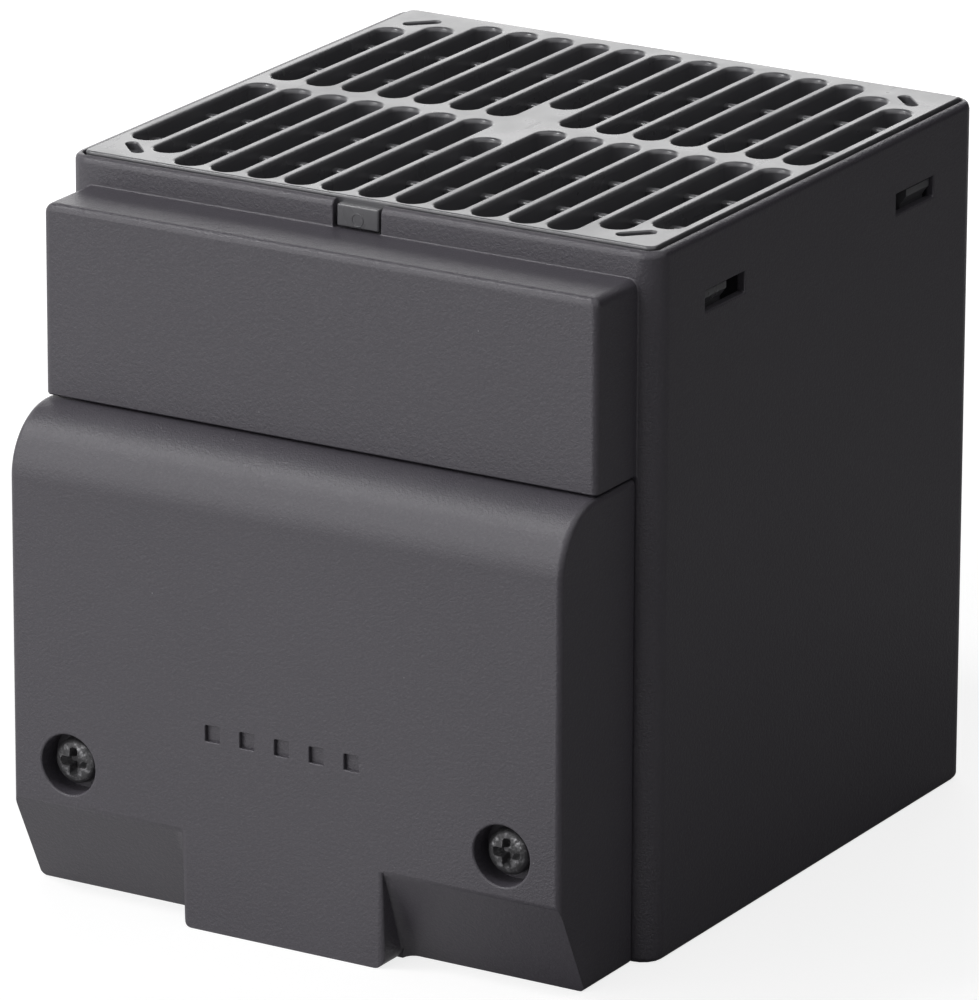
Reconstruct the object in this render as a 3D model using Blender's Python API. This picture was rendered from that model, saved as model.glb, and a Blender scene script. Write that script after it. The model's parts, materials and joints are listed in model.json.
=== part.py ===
"""Touch-safe fan heater for an electrical enclosure: a square moulded duct with a slotted outlet grille
on top, a fan and a ceramic heating core inside, a terminal compartment in front and a rail clip behind.

Metres, +Z up, the front faces -Y. The origin is the middle of the footprint, on the floor.
"""

import math

import bmesh
import bpy
from mathutils import Vector

MM = 0.001

# Fits
CLEARANCE = 0.3 * MM
SINK = 1.0 * MM
OVERCUT = 2.0 * MM

# Duct of the housing
WIDTH = 85 * MM
DEPTH = 82 * MM
HEIGHT = 91.5 * MM
CORNER_RADIUS = 3 * MM
RIM_WALL = 1.2 * MM
RIM_ROUNDING = 0.9 * MM
FOOT_ROUNDING = 0.8 * MM
DUCT_WALL = 3.2 * MM
INNER_RADIUS = 1.2 * MM

# Front panel of the housing
PANEL_STEP = 2.8 * MM
PANEL_PROJECTION = 9.5 * MM
PANEL_BOTTOM = 63.2 * MM
PANEL_ROUNDING = 0.9 * MM
PANEL_CORNER = 1.3 * MM
COLLAR_HEIGHT = 3.5 * MM
SHELL = 2 * MM

# Terminal cover
COVER_PROJECTION = 17.8 * MM
COVER_TOP_RADIUS = 8.3 * MM
COVER_END_ROUNDING = 0.8 * MM
SLOPE_HEIGHT = 12.8 * MM
SLOPE_SETBACK = 6.3 * MM
CHUTE_WIDTH = 29.2 * MM
CHUTE_CORNER = 0.8 * MM
CHUTE_FILLET = 1.5 * MM
CHUTE_BACK_GAP = 3.6 * MM
FEATHER = 0.05 * MM
TONGUE_INSET = 9.7 * MM
TONGUE_THICKNESS = 1.5 * MM
TONGUE_HEIGHT = 3 * MM
MARK_COUNT = 5
MARK_SIZE = 2.1 * MM
MARK_PITCH = 5.03 * MM
MARK_HEIGHT = 26.15 * MM
MARK_DEPTH = 0.9 * MM
WELL_INSET = 8.25 * MM
WELL_HEIGHT = 18.15 * MM
WELL_RADIUS = 3.95 * MM
WELL_WALL = 1.6 * MM
WELL_DEPTH = 3.6 * MM
WELL_FLOOR = 2 * MM
WELL_MOUTH = 0.3 * MM

# Outlet grille
GRILLE_DEPTH = 6.5 * MM
GRILLE_RISE = 0.35 * MM
SLOT_PITCH = 5.37 * MM
SLOT_WIDTH = 3.8 * MM
SLOT_FLARE = 0.35 * MM
SLOT_MARGIN = 2.1 * MM
SLOT_SIDE_MARGIN = 1.1 * MM
CENTRE_BAR = 3.4 * MM
CORNER_STEP = 3.5 * MM
CENTRE_STEP = 6.8 * MM
RIB_OFFSETS = (12.8 * MM, 25.7 * MM)
RIB_WIDTH = 1.4 * MM
RIB_DROP = 1.5 * MM
DIMPLE_INSET = 4.9 * MM
DIMPLE_LENGTH = 5 * MM
DIMPLE_WIDTH = 1.5 * MM
DIMPLE_DEPTH = 1 * MM
WINDOW_INSET = 16.6 * MM
WINDOW_LENGTH = 10 * MM
WINDOW_HEIGHT = 2.8 * MM
WINDOW_DROP = 7.4 * MM
HOOK_LENGTH = 6 * MM
HOOK_THICKNESS = 1.6 * MM
HOOK_NOSE = 0.9 * MM
SNAP_WIDTH = 6 * MM
SNAP_SIDE_GAP = 0.9 * MM
SEAT_DROP = 11.5 * MM

# Inlet guard
GUARD_THICKNESS = 2.5 * MM
GUARD_RECESS = 0.6 * MM
GUARD_RING_START = 10 * MM
GUARD_RING_PITCH = 5.8 * MM
GUARD_RING_GAP = 4.4 * MM
GUARD_SPOKE = 3 * MM
GUARD_SCREW_FLOOR = 0.8 * MM

# Fan
FAN_MARGIN = 2.8 * MM
FAN_THICKNESS = 25 * MM
FAN_CORNER = 5 * MM
FAN_HOLE_INSET = 5 * MM
FAN_HOLE_RADIUS = 2.1 * MM
FAN_BORE_WALL = 1.7 * MM
FAN_TUBE_WALL = 2 * MM
FAN_FLANGE = 4 * MM
STRUT_WIDTH = 3.5 * MM
STRUT_COUNT = 4
MOTOR_PLATE_RADIUS = 14 * MM
MOTOR_PLATE_THICKNESS = 2.5 * MM
BEARING_TUBE_RADIUS = 4.5 * MM
BEARING_TUBE_WALL = 1.2 * MM
BEARING_TUBE_LENGTH = 15.5 * MM
SHAFT_RADIUS = 1.5 * MM
HUB_RADIUS = 15 * MM
HUB_WALL = 1.4 * MM
HUB_FLOOR = 2 * MM
HUB_BOTTOM = 1.5 * MM
HUB_HEIGHT = 18 * MM
HUB_BOSS_HEIGHT = 3 * MM
BLADE_COUNT = 7
BLADE_TIP_GAP = 1 * MM
BLADE_SINK = 0.2 * MM
BLADE_THICKNESS = 1.3 * MM
BLADE_CHORDS = (17 * MM, 19 * MM, 20 * MM, 20 * MM)
BLADE_PITCHES = (52, 44, 38, 34)
MAGNET_WALL = 1.8 * MM
MAGNET_HEIGHT = 14 * MM
STATOR_RADIUS = 10.4 * MM
STATOR_HEIGHT = 8 * MM
STATOR_SLOT_TURN = 20
STATOR_MOUTH_TURN = 4
STATOR_CORE_RADIUS = 6.6 * MM
STATOR_SHOE = 1.6 * MM
BOARD_RADIUS = 12.5 * MM
BOARD_THICKNESS = 1.2 * MM

# Corner blocks inside the duct, and the carrier on them
BLOCK_REACH = 4.5 * MM
BLOCK_HEIGHT = 11 * MM
CARRIER_THICKNESS = 2.5 * MM
FLOW_WINDOW_INSET = (8 * MM, 12.5 * MM)
CARRIER_WALL = 1.2 * MM
CARRIER_WALL_HEIGHT = 9 * MM
CARRIER_MARGIN = 0.2 * MM

# Heating core
FIN_HEIGHT = 15 * MM
FIN_PITCH = 3 * MM
FIN_THICKNESS = 0.5 * MM
ELEMENT_DEPTH = 5.5 * MM
CAP_LENGTH = 7 * MM
CAP_FLOOR = 2 * MM
CAP_MARGIN = 1.2 * MM
STRAP_WIDTH = 6.4 * MM
STRAP_THICKNESS = 1.2 * MM
STRAP_FOOT = 8 * MM
STRAP_MARGIN = 3.9 * MM
CUTOUT_SIZE = (6 * MM, 15 * MM, 4.5 * MM)

# Terminal block and strain relief
POLE_COUNT = 3
POLE_PITCH = 10 * MM
BLOCK_SIZE = (33 * MM, 12 * MM, 24 * MM)
BLOCK_BOTTOM = 25 * MM
BLOCK_SEAT = 6 * MM
BLOCK_SCREW_DROP = 3.5 * MM
POLE_WELL_DEPTH = 3.5 * MM
POLE_SCREW_HEIGHT = 14 * MM
ENTRY_SIZE = 6.6 * MM
ENTRY_LENGTH = 17.5 * MM
CAGE_WALL = 0.9 * MM
CAGE_HEIGHT = 6.4 * MM
PASSAGE_SIZE = (18 * MM, 7 * MM)
PASSAGE_BOTTOM = 50 * MM
RELIEF_SPACING = 19 * MM
RELIEF_HEIGHT = 8.5 * MM
RELIEF_POST_LENGTH = 4 * MM
RELIEF_POST_RADIUS = 2.8 * MM
RELIEF_BAR = (25 * MM, 4.5 * MM, 6.5 * MM)
RELIEF_GRIP_RADIUS = 3.5 * MM
RELIEF_GRIP_OFFSET = 0.5 * MM

# Rail clip
RAIL_HEIGHT = 35 * MM
RAIL_CENTRE = 50 * MM
RAIL_LIP = 1.6 * MM
CLIP_WIDTH = 30 * MM
CLIP_BASE = 4 * MM
CLIP_ARM = 3.5 * MM
CLIP_HOOK = 3.2 * MM
CLIP_CATCH = 2.6 * MM
CLIP_PULL = 9 * MM
CLIP_EYE = (8 * MM, 3 * MM)
CLIP_SLOT = 1.5 * MM
CLIP_SLOT_SPACING = 18 * MM
CLIP_SLOT_TOP = 49 * MM
CLIP_SCREW_SPACING = 18 * MM
CLIP_SCREW_HEIGHT = 57 * MM

# Screws: head radius, head height, shank radius
SMALL_SCREW = (2.1 * MM, 1.4 * MM, 1.1 * MM)
MIDDLE_SCREW = (2.7 * MM, 1.8 * MM, 1.4 * MM)
COVER_SCREW = (3 * MM, 2.1 * MM, 1.4 * MM)
HEAD_SIDE = 0.5
HEAD_CROWN = 0.7
TIP_TAPER = 0.6
RECESS_SPAN = 3.8 * MM
RECESS_WIDTH = 1.1 * MM
RECESS_DEPTH = 1.4 * MM
RECESS_TAPER = 0.6
COVER_SCREW_LENGTH = 10 * MM
FAN_SCREW_LENGTH = 31 * MM
CARRIER_SCREW_LENGTH = 8 * MM
CLIP_SCREW_LENGTH = 5 * MM
POLE_SCREW_LENGTH = 5 * MM
RELIEF_SCREW_LENGTH = 9 * MM
BLOCK_SCREW_LENGTH = 8.5 * MM

ROUND_STEPS = 32
SMALL_STEPS = 12
SCREW_STEPS = 10
CORNER_STEPS = 4

# Places worked out from the sizes above
CLIP_DEPTH = CLEARANCE + CLIP_BASE + RAIL_LIP + CLIP_HOOK
FRONT_Y = COVER_PROJECTION - (COVER_PROJECTION + DEPTH + CLIP_DEPTH) / 2
DUCT_Y = FRONT_Y + DEPTH / 2
BACK_Y = FRONT_Y + DEPTH
LEDGE_Z = HEIGHT - COLLAR_HEIGHT
SEAT_Z = HEIGHT - SEAT_DROP
GUARD_TOP = GUARD_RECESS + GUARD_THICKNESS
GUARD_SEAT_Z = GUARD_TOP + CLEARANCE
FAN_Z = GUARD_SEAT_Z
BLOCK_Z = FAN_Z + FAN_THICKNESS + CLEARANCE
CARRIER_SEAT_Z = BLOCK_Z + BLOCK_HEIGHT
CARRIER_Z = CARRIER_SEAT_Z + CLEARANCE
CORE_Z = CARRIER_Z + CARRIER_THICKNESS + CLEARANCE + CAP_MARGIN
COVER_TOP = PANEL_BOTTOM - CLEARANCE
PANEL_WIDTH = WIDTH - 2 * PANEL_STEP
WELL_SPACING = PANEL_WIDTH - 2 * WELL_INSET
TONGUE_WIDTH = PANEL_WIDTH - 2 * TONGUE_INSET
WINDOW_OFFSET = DEPTH / 2 - WINDOW_INSET
FAN_SIZE = min(WIDTH, DEPTH) - 2 * (DUCT_WALL + FAN_MARGIN)
FAN_HOLE_SPACING = FAN_SIZE - 2 * FAN_HOLE_INSET
FAN_BORE_RADIUS = FAN_SIZE / 2 - FAN_BORE_WALL
GUARD_RINGS = int((FAN_BORE_RADIUS - GUARD_RING_START - GUARD_RING_GAP) / GUARD_RING_PITCH) + 1
BLOCK_INNER = FAN_HOLE_SPACING / 2 - BLOCK_REACH
CARRIER_WIDTH = WIDTH - 2 * (DUCT_WALL + CLEARANCE)
CARRIER_DEPTH = DEPTH - 2 * (DUCT_WALL + CLEARANCE)
FLOW_WINDOW = (CARRIER_WIDTH - 2 * FLOW_WINDOW_INSET[0], CARRIER_DEPTH - 2 * FLOW_WINDOW_INSET[1])
FIN_LENGTH = CARRIER_WIDTH - 2 * (CARRIER_MARGIN + CARRIER_WALL + CAP_LENGTH + 2 * CLEARANCE)
CORE_DEPTH = CARRIER_DEPTH - 2 * (STRAP_MARGIN + STRAP_FOOT + STRAP_THICKNESS + CLEARANCE)
FIN_DEPTH = (CORE_DEPTH - 2 * ELEMENT_DEPTH - 4 * CLEARANCE) / 3
CAP_INNER = FIN_LENGTH / 2 + CLEARANCE
CAP_MIDDLE = CAP_INNER + CAP_LENGTH / 2
CAP_TOP = CORE_Z + FIN_HEIGHT + CAP_MARGIN
ELEMENT_REACH = CAP_INNER + CAP_LENGTH - CAP_FLOOR - CLEARANCE
ELEMENT_OFFSET = FIN_DEPTH / 2 + CLEARANCE + ELEMENT_DEPTH / 2
FIN_OFFSET = ELEMENT_OFFSET + ELEMENT_DEPTH / 2 + CLEARANCE + FIN_DEPTH / 2
CAP_HALF = FIN_OFFSET + FIN_DEPTH / 2
STRAP_REACH = CAP_HALF + CLEARANCE + STRAP_THICKNESS
CARRIER_SCREW_Y = STRAP_REACH + STRAP_FOOT / 2
STRAP_Z = CARRIER_Z + CARRIER_THICKNESS + CLEARANCE
PLATE_WIDTH = WIDTH - 2 * (RIM_WALL + CLEARANCE)
PLATE_DEPTH = DEPTH - 2 * (RIM_WALL + CLEARANCE)
SLOT_REACH = PLATE_WIDTH / 2 - SLOT_WIDTH / 2 - SLOT_FLARE - SLOT_SIDE_MARGIN
SLOT_COLUMNS = 2 * int(SLOT_REACH / SLOT_PITCH) + 1
MOTOR_PLATE_Z = FAN_THICKNESS - MOTOR_PLATE_THICKNESS
BEARING_Z = MOTOR_PLATE_Z - BEARING_TUBE_LENGTH
BEARING_BORE = BEARING_TUBE_RADIUS - BEARING_TUBE_WALL
HUB_FLOOR_TOP = HUB_BOTTOM + HUB_FLOOR
FAN_SCREW_Z = GUARD_TOP - GUARD_SCREW_FLOOR - CLEARANCE
CARRIER_SCREW_Z = STRAP_Z + STRAP_THICKNESS + CLEARANCE
POLE_WELL_RADIUS = MIDDLE_SCREW[0] + CLEARANCE
BLOCK_SCREW_X = POLE_PITCH / 2
BLOCK_SCREW_Z = BLOCK_BOTTOM + BLOCK_SIZE[2] - BLOCK_SCREW_DROP
POLE_SCREW_X = [POLE_PITCH * (pole - (POLE_COUNT - 1) / 2) for pole in range(POLE_COUNT)]
FOUR_CORNERS = [(x, y) for y in (-1, 1) for x in (-1, 1)]


def on_axis(u, v, w, axis):
    """A point with w along the axis, and u and v along the other two, in their usual order."""
    return {"X": (w, u, v), "Y": (u, w, v), "Z": (u, v, w)}[axis]


def filleted(corners, steps=CORNER_STEPS):
    """A closed outline through (x, y, radius) corners, each rounded by its radius."""
    points = []
    for index, (x, y, radius) in enumerate(corners):
        here = Vector((x, y))
        if not radius:
            points.append((x, y))
            continue
        before = (Vector(corners[index - 1][:2]) - here).normalized()
        after = (Vector(corners[(index + 1) % len(corners)][:2]) - here).normalized()
        half = before.angle(after) / 2
        centre = here + (before + after).normalized() * radius / math.sin(half)
        start = here + before * radius / math.tan(half) - centre
        end = here + after * radius / math.tan(half) - centre
        first = math.atan2(start.y, start.x)
        sweep = math.remainder(math.atan2(end.y, end.x) - first, 2 * math.pi)
        turns = [first + sweep * step / steps for step in range(steps + 1)]
        points += [(centre.x + radius * math.cos(turn), centre.y + radius * math.sin(turn)) for turn in turns]
    return points


def rectangle(width, depth, radius=0.0, centre=(0, 0)):
    x, y = width / 2, depth / 2
    corners = [(centre[0] + i * x, centre[1] + j * y, radius) for i, j in ((-1, -1), (1, -1), (1, 1), (-1, 1))]
    return filleted(corners)


def circle(radius, steps=ROUND_STEPS, centre=(0, 0)):
    turns = [2 * math.pi * step / steps for step in range(steps)]
    return [(centre[0] + radius * math.cos(turn), centre[1] + radius * math.sin(turn)) for turn in turns]


def slot_outline(radius, low, high, x=0.0, steps=4):
    """A slot with round ends, whose tips are at low and high."""
    half_turns = [math.pi * step / steps for step in range(steps + 1)]
    far = [(x + radius * math.cos(turn), high - radius + radius * math.sin(turn)) for turn in half_turns]
    near = [(x - radius * math.cos(turn), low + radius - radius * math.sin(turn)) for turn in half_turns]
    return far + near


def ring_sector(inner, outer, start, end, steps=5):
    turns = [start + (end - start) * step / steps for step in range(steps + 1)]
    rim = [(outer * math.cos(turn), outer * math.sin(turn)) for turn in turns]
    return rim + [(inner * math.cos(turn), inner * math.sin(turn)) for turn in reversed(turns)]


def strip(path, thickness):
    """The closed outline of a sheet of this thickness, whose middle follows the path."""
    points = [Vector(point) for point in path]
    left, right = [], []
    for index, here in enumerate(points):
        after = (points[min(index + 1, len(points) - 1)] - here).normalized()
        before = (here - points[max(index - 1, 0)]).normalized()
        side = Vector((-(before + after).y, (before + after).x)).normalized()
        normal = Vector((-after.y, after.x)) if after.length else Vector((-before.y, before.x))
        offset = side * thickness / 2 / side.dot(normal)
        left.append(tuple(here + offset))
        right.append(tuple(here - offset))
    return left + right[::-1]


def polar(points):
    return [(radius * math.cos(turn), radius * math.sin(turn)) for radius, turn in points]


def rounding(radius, steps=3):
    """Pairs of inset and drop that follow a quarter round, from its foot to its top."""
    turns = [math.pi / 2 * step / steps for step in range(steps + 1)]
    return [(radius * (1 - math.cos(turn)), radius * (1 - math.sin(turn))) for turn in turns]


def loft(shape, sections, axis="Z"):
    """Adds a closed solid through outlines of equal length, each with its place along the axis."""
    rings = [[shape.verts.new(on_axis(u, v, w, axis)) for u, v in outline] for outline, w in sections]
    for lower, upper in zip(rings, rings[1:]):
        for i in range(len(lower)):
            shape.faces.new((lower[i - 1], lower[i], upper[i], upper[i - 1]))
    shape.faces.new(rings[0])
    shape.faces.new(rings[-1])


def prism(shape, outline, start, end, axis="Z"):
    loft(shape, [(outline, start), (outline, end)], axis)


def block(shape, x, y, z):
    """Adds a box between the two places given for each axis."""
    prism(shape, [(x[0], y[0]), (x[1], y[0]), (x[1], y[1]), (x[0], y[1])], *z)


def turned(shape, profile, steps=ROUND_STEPS, axis="Z", centre=(0, 0), hollow=False):
    """Adds the (radius, height) profile turned about the axis. A hollow one closes on itself."""
    rings = []
    for radius, height in profile:
        around = circle(radius, steps, centre) if radius else [centre]
        rings.append([shape.verts.new(on_axis(u, v, height, axis)) for u, v in around])
    pairs = list(zip(rings, rings[1:])) + ([(rings[-1], rings[0])] if hollow else [])
    for lower, upper in pairs:
        for i in range(steps):
            if len(lower) == 1:
                corners = (lower[0], upper[i], upper[i - 1])
            elif len(upper) == 1:
                corners = (lower[i - 1], lower[i], upper[0])
            else:
                corners = (lower[i - 1], lower[i], upper[i], upper[i - 1])
            shape.faces.new(corners)
    for ring in () if hollow else (rings[0], rings[-1]):
        if len(ring) > 1:
            shape.faces.new(ring)


def cylinder(shape, radius, start, end, steps=SMALL_STEPS, axis="Z", centre=(0, 0)):
    prism(shape, circle(radius, steps, centre), start, end, axis)


def material(name, colour, roughness, metallic=0.0):
    made = bpy.data.materials.new(name)
    made.use_nodes = True
    shader = made.node_tree.nodes["Principled BSDF"]
    shader.inputs["Base Color"].default_value = (*colour, 1)
    shader.inputs["Roughness"].default_value = roughness
    shader.inputs["Metallic"].default_value = metallic
    made.diffuse_color = (*colour, 1)
    return made


def add_object(name, shape, location, rotation=(0, 0, 0)):
    bmesh.ops.recalc_face_normals(shape, faces=shape.faces[:])
    mesh = bpy.data.meshes.new(name)
    shape.to_mesh(mesh)
    shape.free()
    mesh.shade_smooth()
    mesh.set_sharp_from_angle(angle=math.radians(35))
    piece = bpy.data.objects.new(name, mesh)
    bpy.context.scene.collection.objects.link(piece)
    piece.location = location
    piece.rotation_euler = rotation
    return piece


def make(name, shape, finish, location, parent, rotation=(0, 0, 0)):
    """The named piece, with its finish, placed under its parent."""
    piece = add_object(name, shape, location, rotation)
    piece.data.materials.append(finish)
    piece.parent = parent
    return piece


def combine(piece, operation, label, shape):
    """Joins or cuts the piece with a hidden tool that shares its place."""
    tool = add_object(f"{piece.name}_{label}", shape, piece.location, piece.rotation_euler)
    tool.parent = piece.parent
    tool.hide_render = True
    tool.display_type = "WIRE"
    modifier = piece.modifiers.new(label, "BOOLEAN")
    modifier.operation = operation
    modifier.object = tool
    modifier.solver = "EXACT"


def fuse(piece, label, shape):
    combine(piece, "UNION", label, shape)


def cut(piece, label, shape):
    combine(piece, "DIFFERENCE", label, shape)


def empty(name, location, parent=None):
    made = bpy.data.objects.new(name, None)
    made.location = location
    made.parent = parent
    bpy.context.scene.collection.objects.link(made)
    return made


def window_low(side):
    """Where the front end of a snap window lies, for the front (-1) or rear (1) one, from the duct's middle."""
    return side * WINDOW_OFFSET - WINDOW_LENGTH / 2


def housing_outline(inset):
    return rectangle(WIDTH - 2 * inset, DEPTH - 2 * inset, CORNER_RADIUS - inset)


def panel_outline(inset):
    x, top = PANEL_WIDTH / 2 - inset, LEDGE_Z - inset
    radius = PANEL_CORNER - inset
    return filleted([(-x, PANEL_BOTTOM, 0), (x, PANEL_BOTTOM, 0), (x, top, radius), (-x, top, radius)])


def make_housing(plastic, frame):
    """The moulded duct with its collar, front panel, windows, corner blocks and bosses."""
    front, back = -DEPTH / 2, DEPTH / 2
    shape = bmesh.new()
    foot = [(housing_outline(inset), drop) for inset, drop in reversed(rounding(FOOT_ROUNDING))]
    loft(shape, foot + [(housing_outline(inset), HEIGHT - drop) for inset, drop in rounding(RIM_ROUNDING)])
    housing = make("housing", shape, plastic, (0, 0, 0), frame)

    shape = bmesh.new()
    face = front - PANEL_PROJECTION
    edge = [(panel_outline(inset), face + drop) for inset, drop in rounding(PANEL_ROUNDING)]
    loft(shape, [(panel_outline(0), front + SINK)] + edge, "Y")
    fuse(housing, "panel", shape)

    shape = bmesh.new()
    pocket = rectangle(WIDTH - 2 * RIM_WALL, DEPTH - 2 * RIM_WALL, INNER_RADIUS)
    duct = rectangle(WIDTH - 2 * DUCT_WALL, DEPTH - 2 * DUCT_WALL, INNER_RADIUS)
    levels = [(pocket, -OVERCUT), (pocket, GUARD_SEAT_Z), (duct, GUARD_SEAT_Z)]
    loft(shape, levels + [(duct, SEAT_Z), (pocket, SEAT_Z), (pocket, HEIGHT + OVERCUT)])
    cut(housing, "duct", shape)

    shape = bmesh.new()
    x = PANEL_WIDTH / 2 - SHELL
    block(shape, (-x, x), (face + SHELL, front), (PANEL_BOTTOM - OVERCUT, LEDGE_Z - SHELL))
    cut(housing, "panel_hollow", shape)

    shape = bmesh.new()
    wide, deep = WIDTH / 2 - DUCT_WALL + SINK, DEPTH / 2 - DUCT_WALL + SINK
    for i, j in FOUR_CORNERS:
        x, y = sorted((i * BLOCK_INNER, i * wide)), sorted((j * BLOCK_INNER, j * deep))
        block(shape, x, y, (BLOCK_Z, CARRIER_SEAT_Z))
    for side in (-1, 1):
        well = (side * WELL_SPACING / 2, WELL_HEIGHT)
        boss_end = front - COVER_PROJECTION + WELL_DEPTH + WELL_FLOOR + CLEARANCE
        cylinder(shape, WELL_RADIUS - CLEARANCE, boss_end, front + SINK, 16, "Y", well)
        post = (side * RELIEF_SPACING / 2, RELIEF_HEIGHT)
        cylinder(shape, RELIEF_POST_RADIUS, front - RELIEF_POST_LENGTH, front + SINK, 12, "Y", post)
    fuse(housing, "bosses", shape)

    shape = bmesh.new()
    pilot = MIDDLE_SCREW[2] + CLEARANCE
    for i, j in FOUR_CORNERS:
        fan_hole = (i * FAN_HOLE_SPACING / 2, j * FAN_HOLE_SPACING / 2)
        fan_tip = FAN_SCREW_Z + FAN_SCREW_LENGTH + CLEARANCE
        cylinder(shape, pilot, BLOCK_Z - OVERCUT, fan_tip, centre=fan_hole)
        carrier_hole = (i * CAP_MIDDLE, j * CARRIER_SCREW_Y)
        carrier_tip = CARRIER_SCREW_Z - CARRIER_SCREW_LENGTH - CLEARANCE
        cylinder(shape, pilot, carrier_tip, CARRIER_SEAT_Z + OVERCUT, centre=carrier_hole)
        low = window_low(j)
        x = sorted((i * (WIDTH / 2 - RIM_WALL - OVERCUT), i * (WIDTH / 2 + OVERCUT)))
        top = HEIGHT - WINDOW_DROP
        block(shape, x, (low, low + WINDOW_LENGTH), (top - WINDOW_HEIGHT, top))
    for side in (-1, 1):
        well = (side * WELL_SPACING / 2, WELL_HEIGHT)
        screw_end = front - COVER_PROJECTION + WELL_DEPTH + COVER_SCREW_LENGTH + CLEARANCE
        cylinder(shape, COVER_SCREW[2] + CLEARANCE, front - COVER_PROJECTION, screw_end, axis="Y", centre=well)
        post = (side * RELIEF_SPACING / 2, RELIEF_HEIGHT)
        reach = front - RELIEF_POST_LENGTH - RELIEF_BAR[1] + RELIEF_SCREW_LENGTH - CLEARANCE
        cylinder(shape, SMALL_SCREW[2] + CLEARANCE, front - COVER_PROJECTION, reach, axis="Y", centre=post)
    through = (front - OVERCUT, front + DUCT_WALL + OVERCUT)
    behind = (back - DUCT_WALL - OVERCUT, back + OVERCUT)
    for side in (-1, 1):
        clip_hole = (side * CLIP_SCREW_SPACING / 2, CLIP_SCREW_HEIGHT)
        cylinder(shape, pilot, *behind, axis="Y", centre=clip_hole)
        block_hole = (side * BLOCK_SCREW_X, BLOCK_SCREW_Z)
        cylinder(shape, SMALL_SCREW[2] + CLEARANCE, *through, axis="Y", centre=block_hole)
    x = PASSAGE_SIZE[0] / 2
    block(shape, (-x, x), through, (PASSAGE_BOTTOM, PASSAGE_BOTTOM + PASSAGE_SIZE[1]))
    left = -SNAP_WIDTH / 2 - SNAP_SIDE_GAP / 2
    right = SNAP_WIDTH / 2 + SNAP_SIDE_GAP / 2
    block(shape, (left, right), (front - OVERCUT, front + RIM_WALL + SINK), (LEDGE_Z, HEIGHT + OVERCUT))
    cut(housing, "openings", shape)
    return housing


def cover_outline(inset):
    """The cover's side view as (y, z), inset from its outside, with its back left open at the housing."""
    face, top = -COVER_PROJECTION + inset, COVER_TOP - inset
    radius = COVER_TOP_RADIUS - inset
    back = -CLEARANCE
    return filleted([(back, inset, 0), (back, top, 0), (face, top, radius), (face, inset, 0)], 6)


def slope_outline(setback):
    """What is cut away in front of the cover's foot as (y, z), this far back at the floor."""
    face = -COVER_PROJECTION
    low = face + setback * (SLOPE_HEIGHT + OVERCUT) / SLOPE_HEIGHT
    beyond = face - OVERCUT
    return [(beyond, -OVERCUT), (low, -OVERCUT), (face, SLOPE_HEIGHT), (beyond, SLOPE_HEIGHT + OVERCUT)]


def slope_sections():
    """The cut beside the cable chute: over its rounded edge, back along its side and into a fillet."""
    half = CHUTE_WIDTH / 2
    sections = [(half - CHUTE_CORNER, -FEATHER)]
    sections += [(half - drop, inset) for inset, drop in rounding(CHUTE_CORNER)[1:]]
    turns = reversed(rounding(CHUTE_FILLET))
    sections += [(half + CHUTE_FILLET - drop, SLOPE_SETBACK - inset) for drop, inset in turns]
    return sections + [(PANEL_WIDTH / 2 + OVERCUT, SLOPE_SETBACK)]


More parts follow.
